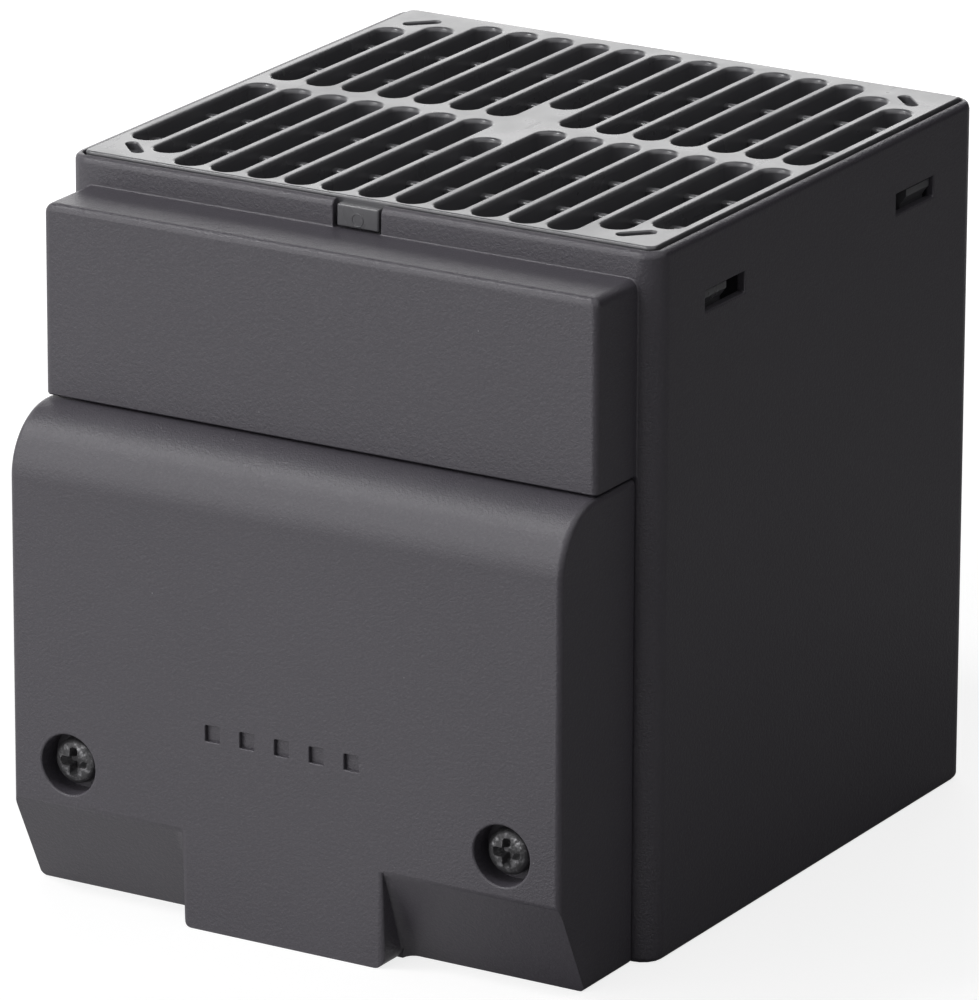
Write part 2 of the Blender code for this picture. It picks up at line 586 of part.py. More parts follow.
def make_terminal_cover(plastic, frame):
    """The front cover: a round-topped shell with a sloping foot on both sides of its cable chute."""
    front = -DEPTH / 2
    x = PANEL_WIDTH / 2
    shape = bmesh.new()
    edge = rounding(COVER_END_ROUNDING)
    ends = [(cover_outline(inset), drop - x) for inset, drop in reversed(edge)]
    loft(shape, ends + [(cover_outline(inset), x - drop) for inset, drop in edge], "X")
    cover = make("terminal_cover", shape, plastic, (0, front, 0), frame)

    shape = bmesh.new()
    for side in (-1, 1):
        loft(shape, [(slope_outline(setback), side * place) for place, setback in slope_sections()], "X")
    cut(cover, "slopes", shape)

    shape = bmesh.new()
    face = -COVER_PROJECTION + SHELL
    hollow_back = OVERCUT
    slope_low = SLOPE_SETBACK * (SLOPE_HEIGHT - SHELL) / SLOPE_HEIGHT
    corners = [
        (hollow_back, SHELL, 0),
        (hollow_back, COVER_TOP - SHELL, 0),
        (face, COVER_TOP - SHELL, COVER_TOP_RADIUS - SHELL),
        (face, SLOPE_HEIGHT, 0),
        (face + slope_low, SHELL, 0),
    ]
    prism(shape, filleted(corners, 6), -x + SHELL, x - SHELL, "X")
    cut(cover, "hollow", shape)

    shape = bmesh.new()
    inner = CHUTE_WIDTH / 2 - SHELL
    block(shape, (-inner, inner), (face, -CHUTE_BACK_GAP), (-OVERCUT, SLOPE_HEIGHT))
    cut(cover, "cable_entry", shape)

    shape = bmesh.new()
    tongue = -PANEL_PROJECTION + SHELL + CLEARANCE
    reach = (-TONGUE_WIDTH / 2, TONGUE_WIDTH / 2)
    block(shape, reach, (tongue, tongue + TONGUE_THICKNESS), (COVER_TOP - SINK, COVER_TOP + TONGUE_HEIGHT))
    well_end = -COVER_PROJECTION + WELL_DEPTH + WELL_FLOOR
    wells = [(side * WELL_SPACING / 2, WELL_HEIGHT) for side in (-1, 1)]
    for well in wells:
        cylinder(shape, WELL_RADIUS + WELL_WALL, -COVER_PROJECTION + SINK, well_end, 24, "Y", well)
    fuse(cover, "tongue_and_wells", shape)

    shape = bmesh.new()
    outside, seat = -COVER_PROJECTION - OVERCUT, -COVER_PROJECTION + WELL_DEPTH
    for well in wells:
        wide = WELL_RADIUS + WELL_MOUTH
        mouth = [(wide, outside), (wide, -COVER_PROJECTION), (WELL_RADIUS, -COVER_PROJECTION + WELL_MOUTH)]
        hole = COVER_SCREW[2] + CLEARANCE
        turned(shape, mouth + [(WELL_RADIUS, seat), (hole, seat), (hole, well_end + OVERCUT)], 24, "Y", well)
    for mark in range(MARK_COUNT):
        x = MARK_PITCH * (mark - (MARK_COUNT - 1) / 2)
        outline = rectangle(MARK_SIZE, MARK_SIZE, centre=(x, MARK_HEIGHT))
        prism(shape, outline, outside, -COVER_PROJECTION + MARK_DEPTH, "Y")
    cut(cover, "wells_and_marks", shape)
    return cover


def slot_ends(column, row):
    """Where the tips of a slot lie for a column from 0 and the front (-1) or rear (1) row."""
    from_side = min(column, SLOT_COLUMNS - 1 - column)
    outer = PLATE_DEPTH / 2 - SLOT_MARGIN - CORNER_STEP * max(0, 2 - from_side)
    inner = CENTRE_BAR / 2 + (CENTRE_STEP if column == SLOT_COLUMNS // 2 else 0)
    return sorted((row * inner, row * outer))


def make_outlet_grille(plastic, frame):
    """The slotted plate in the top, with cross ribs below its bars, snap hooks and a front snap."""
    shape = bmesh.new()
    plate = rectangle(PLATE_WIDTH, PLATE_DEPTH, INNER_RADIUS)
    prism(shape, plate, -GRILLE_DEPTH, GRILLE_RISE)
    grille = make("outlet_grille", shape, plastic, (0, 0, HEIGHT), frame)

    shape = bmesh.new()
    radius = SLOT_WIDTH / 2
    for column in range(SLOT_COLUMNS):
        x = SLOT_PITCH * (column - (SLOT_COLUMNS - 1) / 2)
        for row in (-1, 1):
            low, high = slot_ends(column, row)
            straight = slot_outline(radius, low, high, x)
            flared = slot_outline(radius + SLOT_FLARE, low - SLOT_FLARE, high + SLOT_FLARE, x)
            levels = [(straight, -GRILLE_DEPTH - OVERCUT), (straight, GRILLE_RISE - SLOT_FLARE)]
            loft(shape, levels + [(flared, GRILLE_RISE), (flared, OVERCUT)])
    for i, j in FOUR_CORNERS:
        middle = Vector((i * (PLATE_WIDTH / 2 - DIMPLE_INSET), j * (PLATE_DEPTH / 2 - DIMPLE_INSET)))
        along = Vector((i, -j)).normalized()
        across = Vector((j, i)).normalized()
        outline = slot_outline(DIMPLE_WIDTH / 2, -DIMPLE_LENGTH / 2, DIMPLE_LENGTH / 2)
        placed = [tuple(middle + across * u + along * v) for u, v in outline]
        prism(shape, placed, GRILLE_RISE - DIMPLE_DEPTH, OVERCUT)
    cut(grille, "slots", shape)

    shape = bmesh.new()
    reach = PLATE_WIDTH / 2 - SINK
    for offset in RIB_OFFSETS:
        for side in (-1, 1):
            y = side * offset
            span = (y - RIB_WIDTH / 2, y + RIB_WIDTH / 2)
            block(shape, (-reach, reach), span, (SINK / 2 - GRILLE_DEPTH, GRILLE_RISE - RIB_DROP))
    fuse(grille, "ribs", shape)

    shape = bmesh.new()
    side_x = PLATE_WIDTH / 2
    window_top = -WINDOW_DROP - CLEARANCE
    window_bottom = -WINDOW_DROP - WINDOW_HEIGHT + CLEARANCE
    for i, j in FOUR_CORNERS:
        x = i * side_x
        inner, nose = x - i * HOOK_THICKNESS, x + i * HOOK_NOSE
        foot = -SEAT_DROP + CLEARANCE
        hook = [(inner, foot), (x, foot), (x, window_bottom), (nose, window_top - SINK), (nose, window_top)]
        hook += [(x, window_top), (x, SINK - GRILLE_DEPTH), (inner, SINK - GRILLE_DEPTH)]
        low = window_low(j) + CLEARANCE
        if j > 0:
            low += WINDOW_LENGTH - HOOK_LENGTH - 2 * CLEARANCE
        prism(shape, hook, low, low + HOOK_LENGTH, "Y")
    snap_right = SNAP_WIDTH / 2 + SNAP_SIDE_GAP / 2 - CLEARANCE
    snap = (snap_right - SNAP_WIDTH, snap_right)
    block(shape, snap, (-DEPTH / 2, SINK / 2 - PLATE_DEPTH / 2), (CLEARANCE - COLLAR_HEIGHT, -SLOT_FLARE))
    fuse(grille, "hooks_and_snap", shape)
    return grille


def make_inlet_guard(plastic, frame):
    """The bottom plate with rings that keep fingers out of the fan."""
    shape = bmesh.new()
    plate = rectangle(PLATE_WIDTH, PLATE_DEPTH, INNER_RADIUS)
    prism(shape, plate, 0, GUARD_THICKNESS)
    guard = make("inlet_guard", shape, plastic, (0, 0, GUARD_RECESS), frame)
    shape = bmesh.new()
    for number in range(GUARD_RINGS):
        inner = GUARD_RING_START + GUARD_RING_PITCH * number
        for quarter in range(4):
            start = quarter * math.pi / 2
            spoke = GUARD_SPOKE / 2 / inner
            sector = ring_sector(inner, inner + GUARD_RING_GAP, start + spoke, start + math.pi / 2 - spoke)
            prism(shape, sector, -OVERCUT, GUARD_THICKNESS + OVERCUT)
    for i, j in FOUR_CORNERS:
        hole = (i * FAN_HOLE_SPACING / 2, j * FAN_HOLE_SPACING / 2)
        head, shank = MIDDLE_SCREW[0] + CLEARANCE, MIDDLE_SCREW[2] + CLEARANCE
        floor = GUARD_THICKNESS - GUARD_SCREW_FLOOR
        profile = [(head, -OVERCUT), (head, floor), (shank, floor), (shank, GUARD_THICKNESS + OVERCUT)]
        turned(shape, profile, 16, centre=hole)
    cut(guard, "rings_and_holes", shape)
    return guard


def make_fan_frame(plastic, fan):
    """The fan's square frame, round bore and the four struts that carry the motor plate."""
    shape = bmesh.new()
    prism(shape, rectangle(FAN_SIZE, FAN_SIZE, FAN_CORNER), 0, FAN_THICKNESS)
    piece = make("fan_frame", shape, plastic, (0, 0, 0), fan)

    shape = bmesh.new()
    tube, beyond = FAN_BORE_RADIUS + FAN_TUBE_WALL, FAN_SIZE
    low, high = FAN_FLANGE, FAN_THICKNESS - FAN_FLANGE
    turned(shape, [(tube, low), (beyond, low), (beyond, high), (tube, high)], hollow=True)
    cylinder(shape, FAN_BORE_RADIUS, -OVERCUT, FAN_THICKNESS + OVERCUT, ROUND_STEPS)
    cut(piece, "bore_and_waist", shape)

    shape = bmesh.new()
    for i, j in FOUR_CORNERS:
        hole = (i * FAN_HOLE_SPACING / 2, j * FAN_HOLE_SPACING / 2)
        cylinder(shape, FAN_HOLE_RADIUS, -OVERCUT, FAN_THICKNESS + OVERCUT, centre=hole)
    cut(piece, "screw_holes", shape)

    shape = bmesh.new()
    for strut in range(STRUT_COUNT):
        turn = 2 * math.pi * (strut + 0.5) / STRUT_COUNT
        along = Vector((math.cos(turn), math.sin(turn)))
        across = Vector((-along.y, along.x)) * STRUT_WIDTH / 2
        near, far = along * (MOTOR_PLATE_RADIUS - SINK), along * (FAN_BORE_RADIUS + SINK / 2)
        outline = [tuple(point) for point in (near - across, far - across, far + across, near + across)]
        prism(shape, outline, MOTOR_PLATE_Z + SINK / 2, FAN_THICKNESS - SINK / 2)
    fuse(piece, "struts", shape)

    shape = bmesh.new()
    tube, bore = BEARING_TUBE_RADIUS, BEARING_BORE
    rim, top = MOTOR_PLATE_RADIUS, FAN_THICKNESS
    profile = [(0, top), (rim, top), (rim, MOTOR_PLATE_Z), (tube, MOTOR_PLATE_Z), (tube, BEARING_Z)]
    turned(shape, profile + [(bore, BEARING_Z), (bore, MOTOR_PLATE_Z), (0, MOTOR_PLATE_Z)], 24)
    fuse(piece, "motor_plate", shape)
    return piece


def blade(shape, turn):
    """Adds one twisted blade, from inside the hub's wall to its tip, as sections on cylinders."""
    root, tip = HUB_RADIUS - BLADE_SINK, FAN_BORE_RADIUS - BLADE_TIP_GAP
    middle = HUB_BOTTOM + HUB_HEIGHT / 2
    rings = []
    last = len(BLADE_CHORDS) - 1
    for station, (chord, pitch) in enumerate(zip(BLADE_CHORDS, BLADE_PITCHES)):
        radius = root + (tip - root) * station / last
        slope = math.radians(pitch)
        ring = []
        for along, across in ((-0.5, 0), (-0.1, -0.5), (0.5, 0), (-0.1, 0.5)):
            sideways = along * chord * math.cos(slope) - across * BLADE_THICKNESS * math.sin(slope)
            upward = along * chord * math.sin(slope) + across * BLADE_THICKNESS * math.cos(slope)
            angle = turn + sideways / radius
            place = (radius * math.cos(angle), radius * math.sin(angle), middle + upward)
            ring.append(shape.verts.new(place))
        rings.append(ring)
    for lower, upper in zip(rings, rings[1:]):
        for i in range(len(lower)):
            shape.faces.new((lower[i - 1], lower[i], upper[i], upper[i - 1]))
    shape.faces.new(rings[0])
    shape.faces.new(rings[-1])


def make_rotor(plastic, magnet, steel, spin):
    """The hub cup with its blades, the magnet ring in it and the shaft."""
    shape = bmesh.new()
    top = HUB_BOTTOM + HUB_HEIGHT
    inner, boss, hole = HUB_RADIUS - HUB_WALL, 2 * SHAFT_RADIUS, SHAFT_RADIUS + CLEARANCE
    boss_top = HUB_FLOOR_TOP + HUB_BOSS_HEIGHT
    profile = [(0, HUB_BOTTOM), (HUB_RADIUS - SINK, HUB_BOTTOM), (HUB_RADIUS, HUB_BOTTOM + SINK)]
    profile += [(HUB_RADIUS, top), (inner, top), (inner, HUB_FLOOR_TOP), (boss, HUB_FLOOR_TOP)]
    profile += [(boss, boss_top), (hole, boss_top), (hole, HUB_FLOOR_TOP), (0, HUB_FLOOR_TOP)]
    turned(shape, profile, 28)
    rotor = make("fan_rotor", shape, plastic, (0, 0, 0), spin)
    shape = bmesh.new()
    for number in range(BLADE_COUNT):
        blade(shape, 2 * math.pi * number / BLADE_COUNT)
    fuse(rotor, "blades", shape)

    shape = bmesh.new()
    outer = inner - CLEARANCE
    low = HUB_FLOOR_TOP + CLEARANCE
    ring = [(outer - MAGNET_WALL, low), (outer, low)]
    ring += [(outer, low + MAGNET_HEIGHT), (outer - MAGNET_WALL, low + MAGNET_HEIGHT)]
    turned(shape, ring, 24, hollow=True)
    make("rotor_magnet", shape, magnet, (0, 0, 0), spin)

    shape = bmesh.new()
    end = MOTOR_PLATE_Z - CLEARANCE
    cylinder(shape, SHAFT_RADIUS, HUB_FLOOR_TOP + CLEARANCE, end, SMALL_STEPS)
    make("fan_shaft", shape, steel, (0, 0, 0), spin)
    return rotor


def make_motor(bronze, steel, board_finish, fan):
    """What stands still inside the hub: the sleeve bearing, the stator and the circuit board."""
    shape = bmesh.new()
    outer, inner = BEARING_BORE - CLEARANCE, SHAFT_RADIUS + CLEARANCE
    low, high = BEARING_Z + CLEARANCE, MOTOR_PLATE_Z - CLEARANCE
    turned(shape, [(inner, low), (outer, low), (outer, high), (inner, high)], 16, hollow=True)
    make("fan_bearing", shape, bronze, (0, 0, 0), fan)

    board_top = MOTOR_PLATE_Z - CLEARANCE
    shape = bmesh.new()
    hole = BEARING_TUBE_RADIUS + CLEARANCE
    low = board_top - BOARD_THICKNESS
    profile = [(hole, low), (BOARD_RADIUS, low), (BOARD_RADIUS, board_top), (hole, board_top)]
    turned(shape, profile, 24, hollow=True)
    make("fan_board", shape, board_finish, (0, 0, 0), fan)

    shape = bmesh.new()
    top = low - CLEARANCE
    base = top - STATOR_HEIGHT
    turned(shape, [(hole, base), (STATOR_RADIUS, base), (STATOR_RADIUS, top), (hole, top)], 24, hollow=True)
    stator = make("fan_stator", shape, steel, (0, 0, 0), fan)
    shape = bmesh.new()
    core, shoe, beyond = STATOR_CORE_RADIUS, STATOR_RADIUS - STATOR_SHOE, STATOR_RADIUS + SINK
    wide, narrow = math.radians(STATOR_SLOT_TURN), math.radians(STATOR_MOUTH_TURN)
    for i, j in FOUR_CORNERS:
        turn = math.atan2(j, i)
        pocket = [(core, -wide), (shoe, -wide), (shoe, -narrow), (beyond, -narrow)]
        pocket += [(radius, -angle) for radius, angle in reversed(pocket)]
        outline = polar([(radius, turn + angle) for radius, angle in pocket + [(core, 0)]])
        prism(shape, outline, base - OVERCUT, top + OVERCUT)
    cut(stator, "slots", shape)
    return stator


def make_carrier(plastic, frame):
    """The plate on the corner blocks that carries the heating core over the fan."""
    shape = bmesh.new()
    prism(shape, rectangle(CARRIER_WIDTH, CARRIER_DEPTH, INNER_RADIUS), 0, CARRIER_THICKNESS)
    carrier = make("heater_carrier", shape, plastic, (0, 0, CARRIER_Z), frame)
    shape = bmesh.new()
    inner = CAP_INNER + CAP_LENGTH + CLEARANCE
    for side in (-1, 1):
        x = sorted((side * inner, side * (inner + CARRIER_WALL)))
        block(shape, x, (-CAP_HALF, CAP_HALF), (SINK, CARRIER_THICKNESS + CARRIER_WALL_HEIGHT))
    fuse(carrier, "side_walls", shape)
    shape = bmesh.new()
    prism(shape, rectangle(*FLOW_WINDOW, INNER_RADIUS), -OVERCUT, CARRIER_THICKNESS + OVERCUT)
    for i, j in FOUR_CORNERS:
        hole = (i * CAP_MIDDLE, j * CARRIER_SCREW_Y)
        cylinder(shape, MIDDLE_SCREW[2] + CLEARANCE, -OVERCUT, CARRIER_THICKNESS + OVERCUT, centre=hole)
    cut(carrier, "flow_window", shape)
    return carrier


def make_core(aluminium, ceramic, moulding, frame):
    """The heating core: folded fins on both sides of two ceramic elements, between two end caps."""
    folds = round(FIN_LENGTH / FIN_PITCH)
    reach = (FIN_DEPTH - FIN_THICKNESS) / 2
    for name, y in (("front", -FIN_OFFSET), ("middle", 0.0), ("rear", FIN_OFFSET)):
        path = []
        for fold in range(folds + 1):
            x = (FIN_LENGTH - FIN_THICKNESS) * (fold / folds - 0.5)
            side = 1 if fold % 2 else -1
            path += [(x, -side * reach), (x, side * reach)]
        shape = bmesh.new()
        prism(shape, strip(path, FIN_THICKNESS), 0, FIN_HEIGHT)
        make(f"fin_pack_{name}", shape, aluminium, (0, y, CORE_Z), frame)

    for name, y in (("front", -ELEMENT_OFFSET), ("rear", ELEMENT_OFFSET)):
        shape = bmesh.new()
        outline = rectangle(ELEMENT_DEPTH, FIN_HEIGHT, ELEMENT_DEPTH / 4, (0, FIN_HEIGHT / 2))
        prism(shape, outline, -ELEMENT_REACH, ELEMENT_REACH, "X")
        make(f"ceramic_element_{name}", shape, ceramic, (0, y, CORE_Z), frame)

    height = FIN_HEIGHT + 2 * CAP_MARGIN
    for name, side in (("left", -1), ("right", 1)):
        shape = bmesh.new()
        outline = rectangle(2 * CAP_HALF, height, CAP_MARGIN, (0, height / 2))
        prism(shape, outline, *sorted((side * CAP_INNER, side * (CAP_INNER + CAP_LENGTH))), "X")
        cap = make(f"core_cap_{name}", shape, moulding, (0, 0, CORE_Z - CAP_MARGIN), frame)
        shape = bmesh.new()
        pocket = sorted((side * (CAP_INNER - OVERCUT), side * (ELEMENT_REACH + CLEARANCE)))
        for y in (-ELEMENT_OFFSET, ELEMENT_OFFSET):
            size = (ELEMENT_DEPTH + 2 * CLEARANCE, FIN_HEIGHT + 2 * CLEARANCE)
            prism(shape, rectangle(*size, centre=(y, height / 2)), *pocket, "X")
        cut(cap, "pockets", shape)


def make_straps(steel, black, frame):
    """The two bent straps that hold the core down, and the thermal cut-out on the right one."""
    foot, top = STRAP_THICKNESS / 2, CAP_TOP + CLEARANCE + STRAP_THICKNESS / 2 - STRAP_Z
    leg = CAP_HALF + CLEARANCE + STRAP_THICKNESS / 2
    end = STRAP_REACH + STRAP_FOOT
    path = [(-end, foot), (-leg, foot), (-leg, top), (leg, top), (leg, foot), (end, foot)]
    for name, side in (("left", -1), ("right", 1)):
        shape = bmesh.new()
        prism(shape, strip(path, STRAP_THICKNESS), -STRAP_WIDTH / 2, STRAP_WIDTH / 2, "X")
        strap = make(f"core_strap_{name}", shape, steel, (side * CAP_MIDDLE, 0, STRAP_Z), frame)
        shape = bmesh.new()
        for y in (-CARRIER_SCREW_Y, CARRIER_SCREW_Y):
            hole = MIDDLE_SCREW[2] + CLEARANCE
            cylinder(shape, hole, -OVERCUT, STRAP_THICKNESS + OVERCUT, centre=(0, y))
        cut(strap, "holes", shape)

    width, depth, height = CUTOUT_SIZE
    shape = bmesh.new()
    prism(shape, rectangle(width, depth, SINK), 0, height)
    low = STRAP_Z + top + STRAP_THICKNESS / 2 + CLEARANCE
    make("thermal_cutout", shape, black, (CAP_MIDDLE, 0, low), frame)


def make_terminal_block(moulding, brass, frame):
    """The three-pole block in the compartment, with a metal cage in each wire entry."""
    front = -DEPTH / 2
    width, depth, height = BLOCK_SIZE
    place = (0, front - CLEARANCE, BLOCK_BOTTOM)
    shape = bmesh.new()
    prism(shape, rectangle(width, depth, CAGE_WALL, (0, -depth / 2)), 0, height)
    terminal_block = make("terminal_block", shape, moulding, place, frame)

    shape = bmesh.new()
    entry_middle = -CAGE_WALL - ENTRY_SIZE / 2
    entry_face = entry_middle - ENTRY_SIZE / 2
    pole_seat = -depth + POLE_WELL_DEPTH
    hole = MIDDLE_SCREW[2] + CLEARANCE
    for x in POLE_SCREW_X:
        outline = rectangle(ENTRY_SIZE, ENTRY_SIZE, centre=(x, entry_middle))
        prism(shape, outline, -OVERCUT, ENTRY_LENGTH)
    cut(terminal_block, "entries", shape)

    shape = bmesh.new()
    for x in POLE_SCREW_X:
        profile = [(POLE_WELL_RADIUS, -depth - OVERCUT), (POLE_WELL_RADIUS, pole_seat)]
        profile += [(hole, pole_seat), (hole, entry_face + SINK)]
        turned(shape, profile, 16, "Y", (x, POLE_SCREW_HEIGHT))
    head, shank = SMALL_SCREW[0] + CLEARANCE, SMALL_SCREW[2] + CLEARANCE
    for side in (-1, 1):
        profile = [(head, -depth - OVERCUT), (head, -BLOCK_SEAT), (shank, -BLOCK_SEAT), (shank, OVERCUT)]
        turned(shape, profile, 16, "Y", (side * BLOCK_SCREW_X, height - BLOCK_SCREW_DROP))
    cut(terminal_block, "screw_wells", shape)

    cage = ENTRY_SIZE - 2 * CLEARANCE
    for name, x in zip(("live", "neutral", "earth"), POLE_SCREW_X):
        shape = bmesh.new()
        low = POLE_SCREW_HEIGHT - CAGE_HEIGHT / 2
        prism(shape, rectangle(cage, cage), 0, CAGE_HEIGHT)
        middle = (x, front - CLEARANCE + entry_middle, BLOCK_BOTTOM + low)
        piece = make(f"terminal_cage_{name}", shape, brass, middle, frame)
        shape = bmesh.new()
        inner = cage - 2 * CAGE_WALL
        prism(shape, rectangle(inner, inner), -OVERCUT, CAGE_HEIGHT + OVERCUT)
        cut(piece, "wire_space", shape)
        shape = bmesh.new()
        cylinder(shape, hole, -cage, -inner / 4, SMALL_STEPS, "Y", (0, CAGE_HEIGHT / 2))
        cut(piece, "screw_hole", shape)


def make_strain_relief(moulding, frame):
    """The bar that grips the cable against the housing, with an arch for the cable."""
    width, depth, height = RELIEF_BAR
    shape = bmesh.new()
    prism(shape, rectangle(width, depth, SINK, (0, -depth / 2)), -height / 2, height / 2)
    place = (0, -DEPTH / 2 - RELIEF_POST_LENGTH - CLEARANCE, RELIEF_HEIGHT)
    bar = make("strain_relief_bar", shape, moulding, place, frame)
    shape = bmesh.new()
    arch = (0, RELIEF_GRIP_OFFSET)
    cylinder(shape, RELIEF_GRIP_RADIUS, -height, height, 20, centre=arch)
    for side in (-1, 1):
        hole = (side * RELIEF_SPACING / 2, 0)
        cylinder(shape, SMALL_SCREW[2] + CLEARANCE, -depth - OVERCUT, OVERCUT, SMALL_STEPS, "Y", hole)
    cut(bar, "arch_and_holes", shape)


def make_rail_clip(plastic, frame):
    """The clip for a 35 mm rail: a fixed hook above, and a hook on a springy tongue below."""
    low, high = RAIL_CENTRE - RAIL_HEIGHT / 2 - CLEARANCE, RAIL_CENTRE + RAIL_HEIGHT / 2 + CLEARANCE
    base, lip = CLIP_BASE, CLIP_BASE + RAIL_LIP
    out = lip + CLIP_HOOK
    bottom = low - CLIP_ARM - CLIP_PULL
    corners = [
        (0, bottom, SINK),
        (base, bottom, SINK),
        (base, low - CLIP_ARM, 0),
        (out, low - CLIP_ARM, SINK),
        (out, low + CLIP_CATCH, SINK),
        (lip, low + CLIP_CATCH, SINK / 2),
        (lip, low, 0),
        (base, low, 0),
        (base, high, 0),
        (lip, high, 0),
        (lip, high - CLIP_CATCH, SINK / 2),
        (out, high - CLIP_CATCH, SINK),
        (out, high + CLIP_ARM, SINK),
        (0, high + CLIP_ARM, SINK),
    ]
    shape = bmesh.new()
    prism(shape, filleted(corners, 3), -CLIP_WIDTH / 2, CLIP_WIDTH / 2, "X")
    place = (0, DEPTH / 2 + CLEARANCE, 0)
    clip = make("rail_clip", shape, plastic, place, frame)

    shape = bmesh.new()
    through = (-OVERCUT, out + OVERCUT)
    for side in (-1, 1):
        slot, outside = side * (CLIP_SLOT_SPACING + CLIP_SLOT) / 2, side * (CLIP_WIDTH / 2 + OVERCUT)
        tongue = slot - side * CLIP_SLOT
        under, end = bottom - OVERCUT, low + CLIP_CATCH + SINK
        corners = [(tongue, under), (outside, under), (outside, end), (slot, end)]
        corners += [(slot, CLIP_SLOT_TOP), (tongue, CLIP_SLOT_TOP)]
        prism(shape, corners, *through, "Y")
        head, shank = MIDDLE_SCREW[0] + CLEARANCE, MIDDLE_SCREW[2] + CLEARANCE
        seat = base - MIDDLE_SCREW[1] - CLEARANCE
        profile = [(shank, -OVERCUT), (shank, seat), (head, seat), (head, out)]
        turned(shape, profile, 16, "Y", (side * CLIP_SCREW_SPACING / 2, CLIP_SCREW_HEIGHT))
    x, z = CLIP_EYE[0] / 2, bottom + CLIP_PULL / 2
    block(shape, (-x, x), through, (z - CLIP_EYE[1] / 2, z + CLIP_EYE[1] / 2))
    cut(clip, "slots_and_holes", shape)


def cross(span, width):
    """The outline of an upright cross."""
    s, w = span / 2, width / 2
    quarter = [(s, -w), (s, w), (w, w)]
    turns = ((1, 0), (0, 1), (-1, 0), (0, -1))
    return [(u * c - v * d, u * d + v * c) for c, d in turns for u, v in quarter]


def make_screw(name, size, length, finish, location, parent, rotation=(0, 0, 0), steps=SCREW_STEPS):
    """A round-headed screw whose head rests on its location and points along its own +Z."""
    head, height, shank = size
    shape = bmesh.new()
    tip = [(0, -length), (shank * TIP_TAPER, -length), (shank, shank - length), (shank, 0)]
    dome = [(head, 0), (head, height * HEAD_SIDE), (head * HEAD_CROWN, height), (0, height)]
    turned(shape, tip + dome, steps)
    return make(name, shape, finish, location, parent, rotation)


def make_cover_screws(finish, frame):
    """The two screws of the cover, with their cross recesses, deep in the cover's wells."""
    seat = COVER_PROJECTION - WELL_DEPTH + CLEARANCE
    top = COVER_SCREW[1]
    for name, side in (("left", -1), ("right", 1)):
        place = (side * WELL_SPACING / 2, -DEPTH / 2 - seat, WELL_HEIGHT)
        placed = (place, frame, (math.pi / 2, 0, 0))
        screw = make_screw(f"cover_screw_{name}", COVER_SCREW, COVER_SCREW_LENGTH, finish, *placed, steps=20)
        shape = bmesh.new()
        ends = (RECESS_TAPER, top - RECESS_DEPTH), (1, top), (1, top + OVERCUT)
        loft(shape, [(cross(RECESS_SPAN * share, RECESS_WIDTH * share), z) for share, z in ends])
        cut(screw, "recess", shape)


def make_screws(bright, frame):
    """Every other screw, set in the piece that its head holds down."""
    front, back = -DEPTH / 2, DEPTH / 2
    facing_front, facing_back, facing_down = (math.pi / 2, 0, 0), (-math.pi / 2, 0, 0), (math.pi, 0, 0)
    for name, side in (("left", -1), ("right", 1)):
        bar_face = front - RELIEF_POST_LENGTH - RELIEF_BAR[1] - 2 * CLEARANCE
        place = (side * RELIEF_SPACING / 2, bar_face, RELIEF_HEIGHT)
        relief = (SMALL_SCREW, RELIEF_SCREW_LENGTH, bright, place, frame, facing_front)
        make_screw(f"strain_relief_screw_{name}", *relief)
        place = (side * BLOCK_SCREW_X, front - BLOCK_SEAT - 2 * CLEARANCE, BLOCK_SCREW_Z)
        fixing = (SMALL_SCREW, BLOCK_SCREW_LENGTH, bright, place, frame, facing_front)
        make_screw(f"block_screw_{name}", *fixing)
        seat = back + CLEARANCE + CLIP_BASE - MIDDLE_SCREW[1]
        place = (side * CLIP_SCREW_SPACING / 2, seat, CLIP_SCREW_HEIGHT)
        make_screw(f"clip_screw_{name}", MIDDLE_SCREW, CLIP_SCREW_LENGTH, bright, place, frame, facing_back)
    pole_seat = front - BLOCK_SIZE[1] + POLE_WELL_DEPTH - 2 * CLEARANCE
    for name, x in zip(("live", "neutral", "earth"), POLE_SCREW_X):
        place = (x, pole_seat, BLOCK_BOTTOM + POLE_SCREW_HEIGHT)
        pole = (MIDDLE_SCREW, POLE_SCREW_LENGTH, bright, place, frame, facing_front)
        make_screw(f"terminal_screw_{name}", *pole)
    for number, (i, j) in enumerate(FOUR_CORNERS, 1):
        place = (i * FAN_HOLE_SPACING / 2, j * FAN_HOLE_SPACING / 2, FAN_SCREW_Z)
        make_screw(f"fan_screw_{number}", MIDDLE_SCREW, FAN_SCREW_LENGTH, bright, place, frame, facing_down)
        place = (i * CAP_MIDDLE, j * CARRIER_SCREW_Y, CARRIER_SCREW_Z)
        make_screw(f"carrier_screw_{number}", MIDDLE_SCREW, CARRIER_SCREW_LENGTH, bright, place, frame)


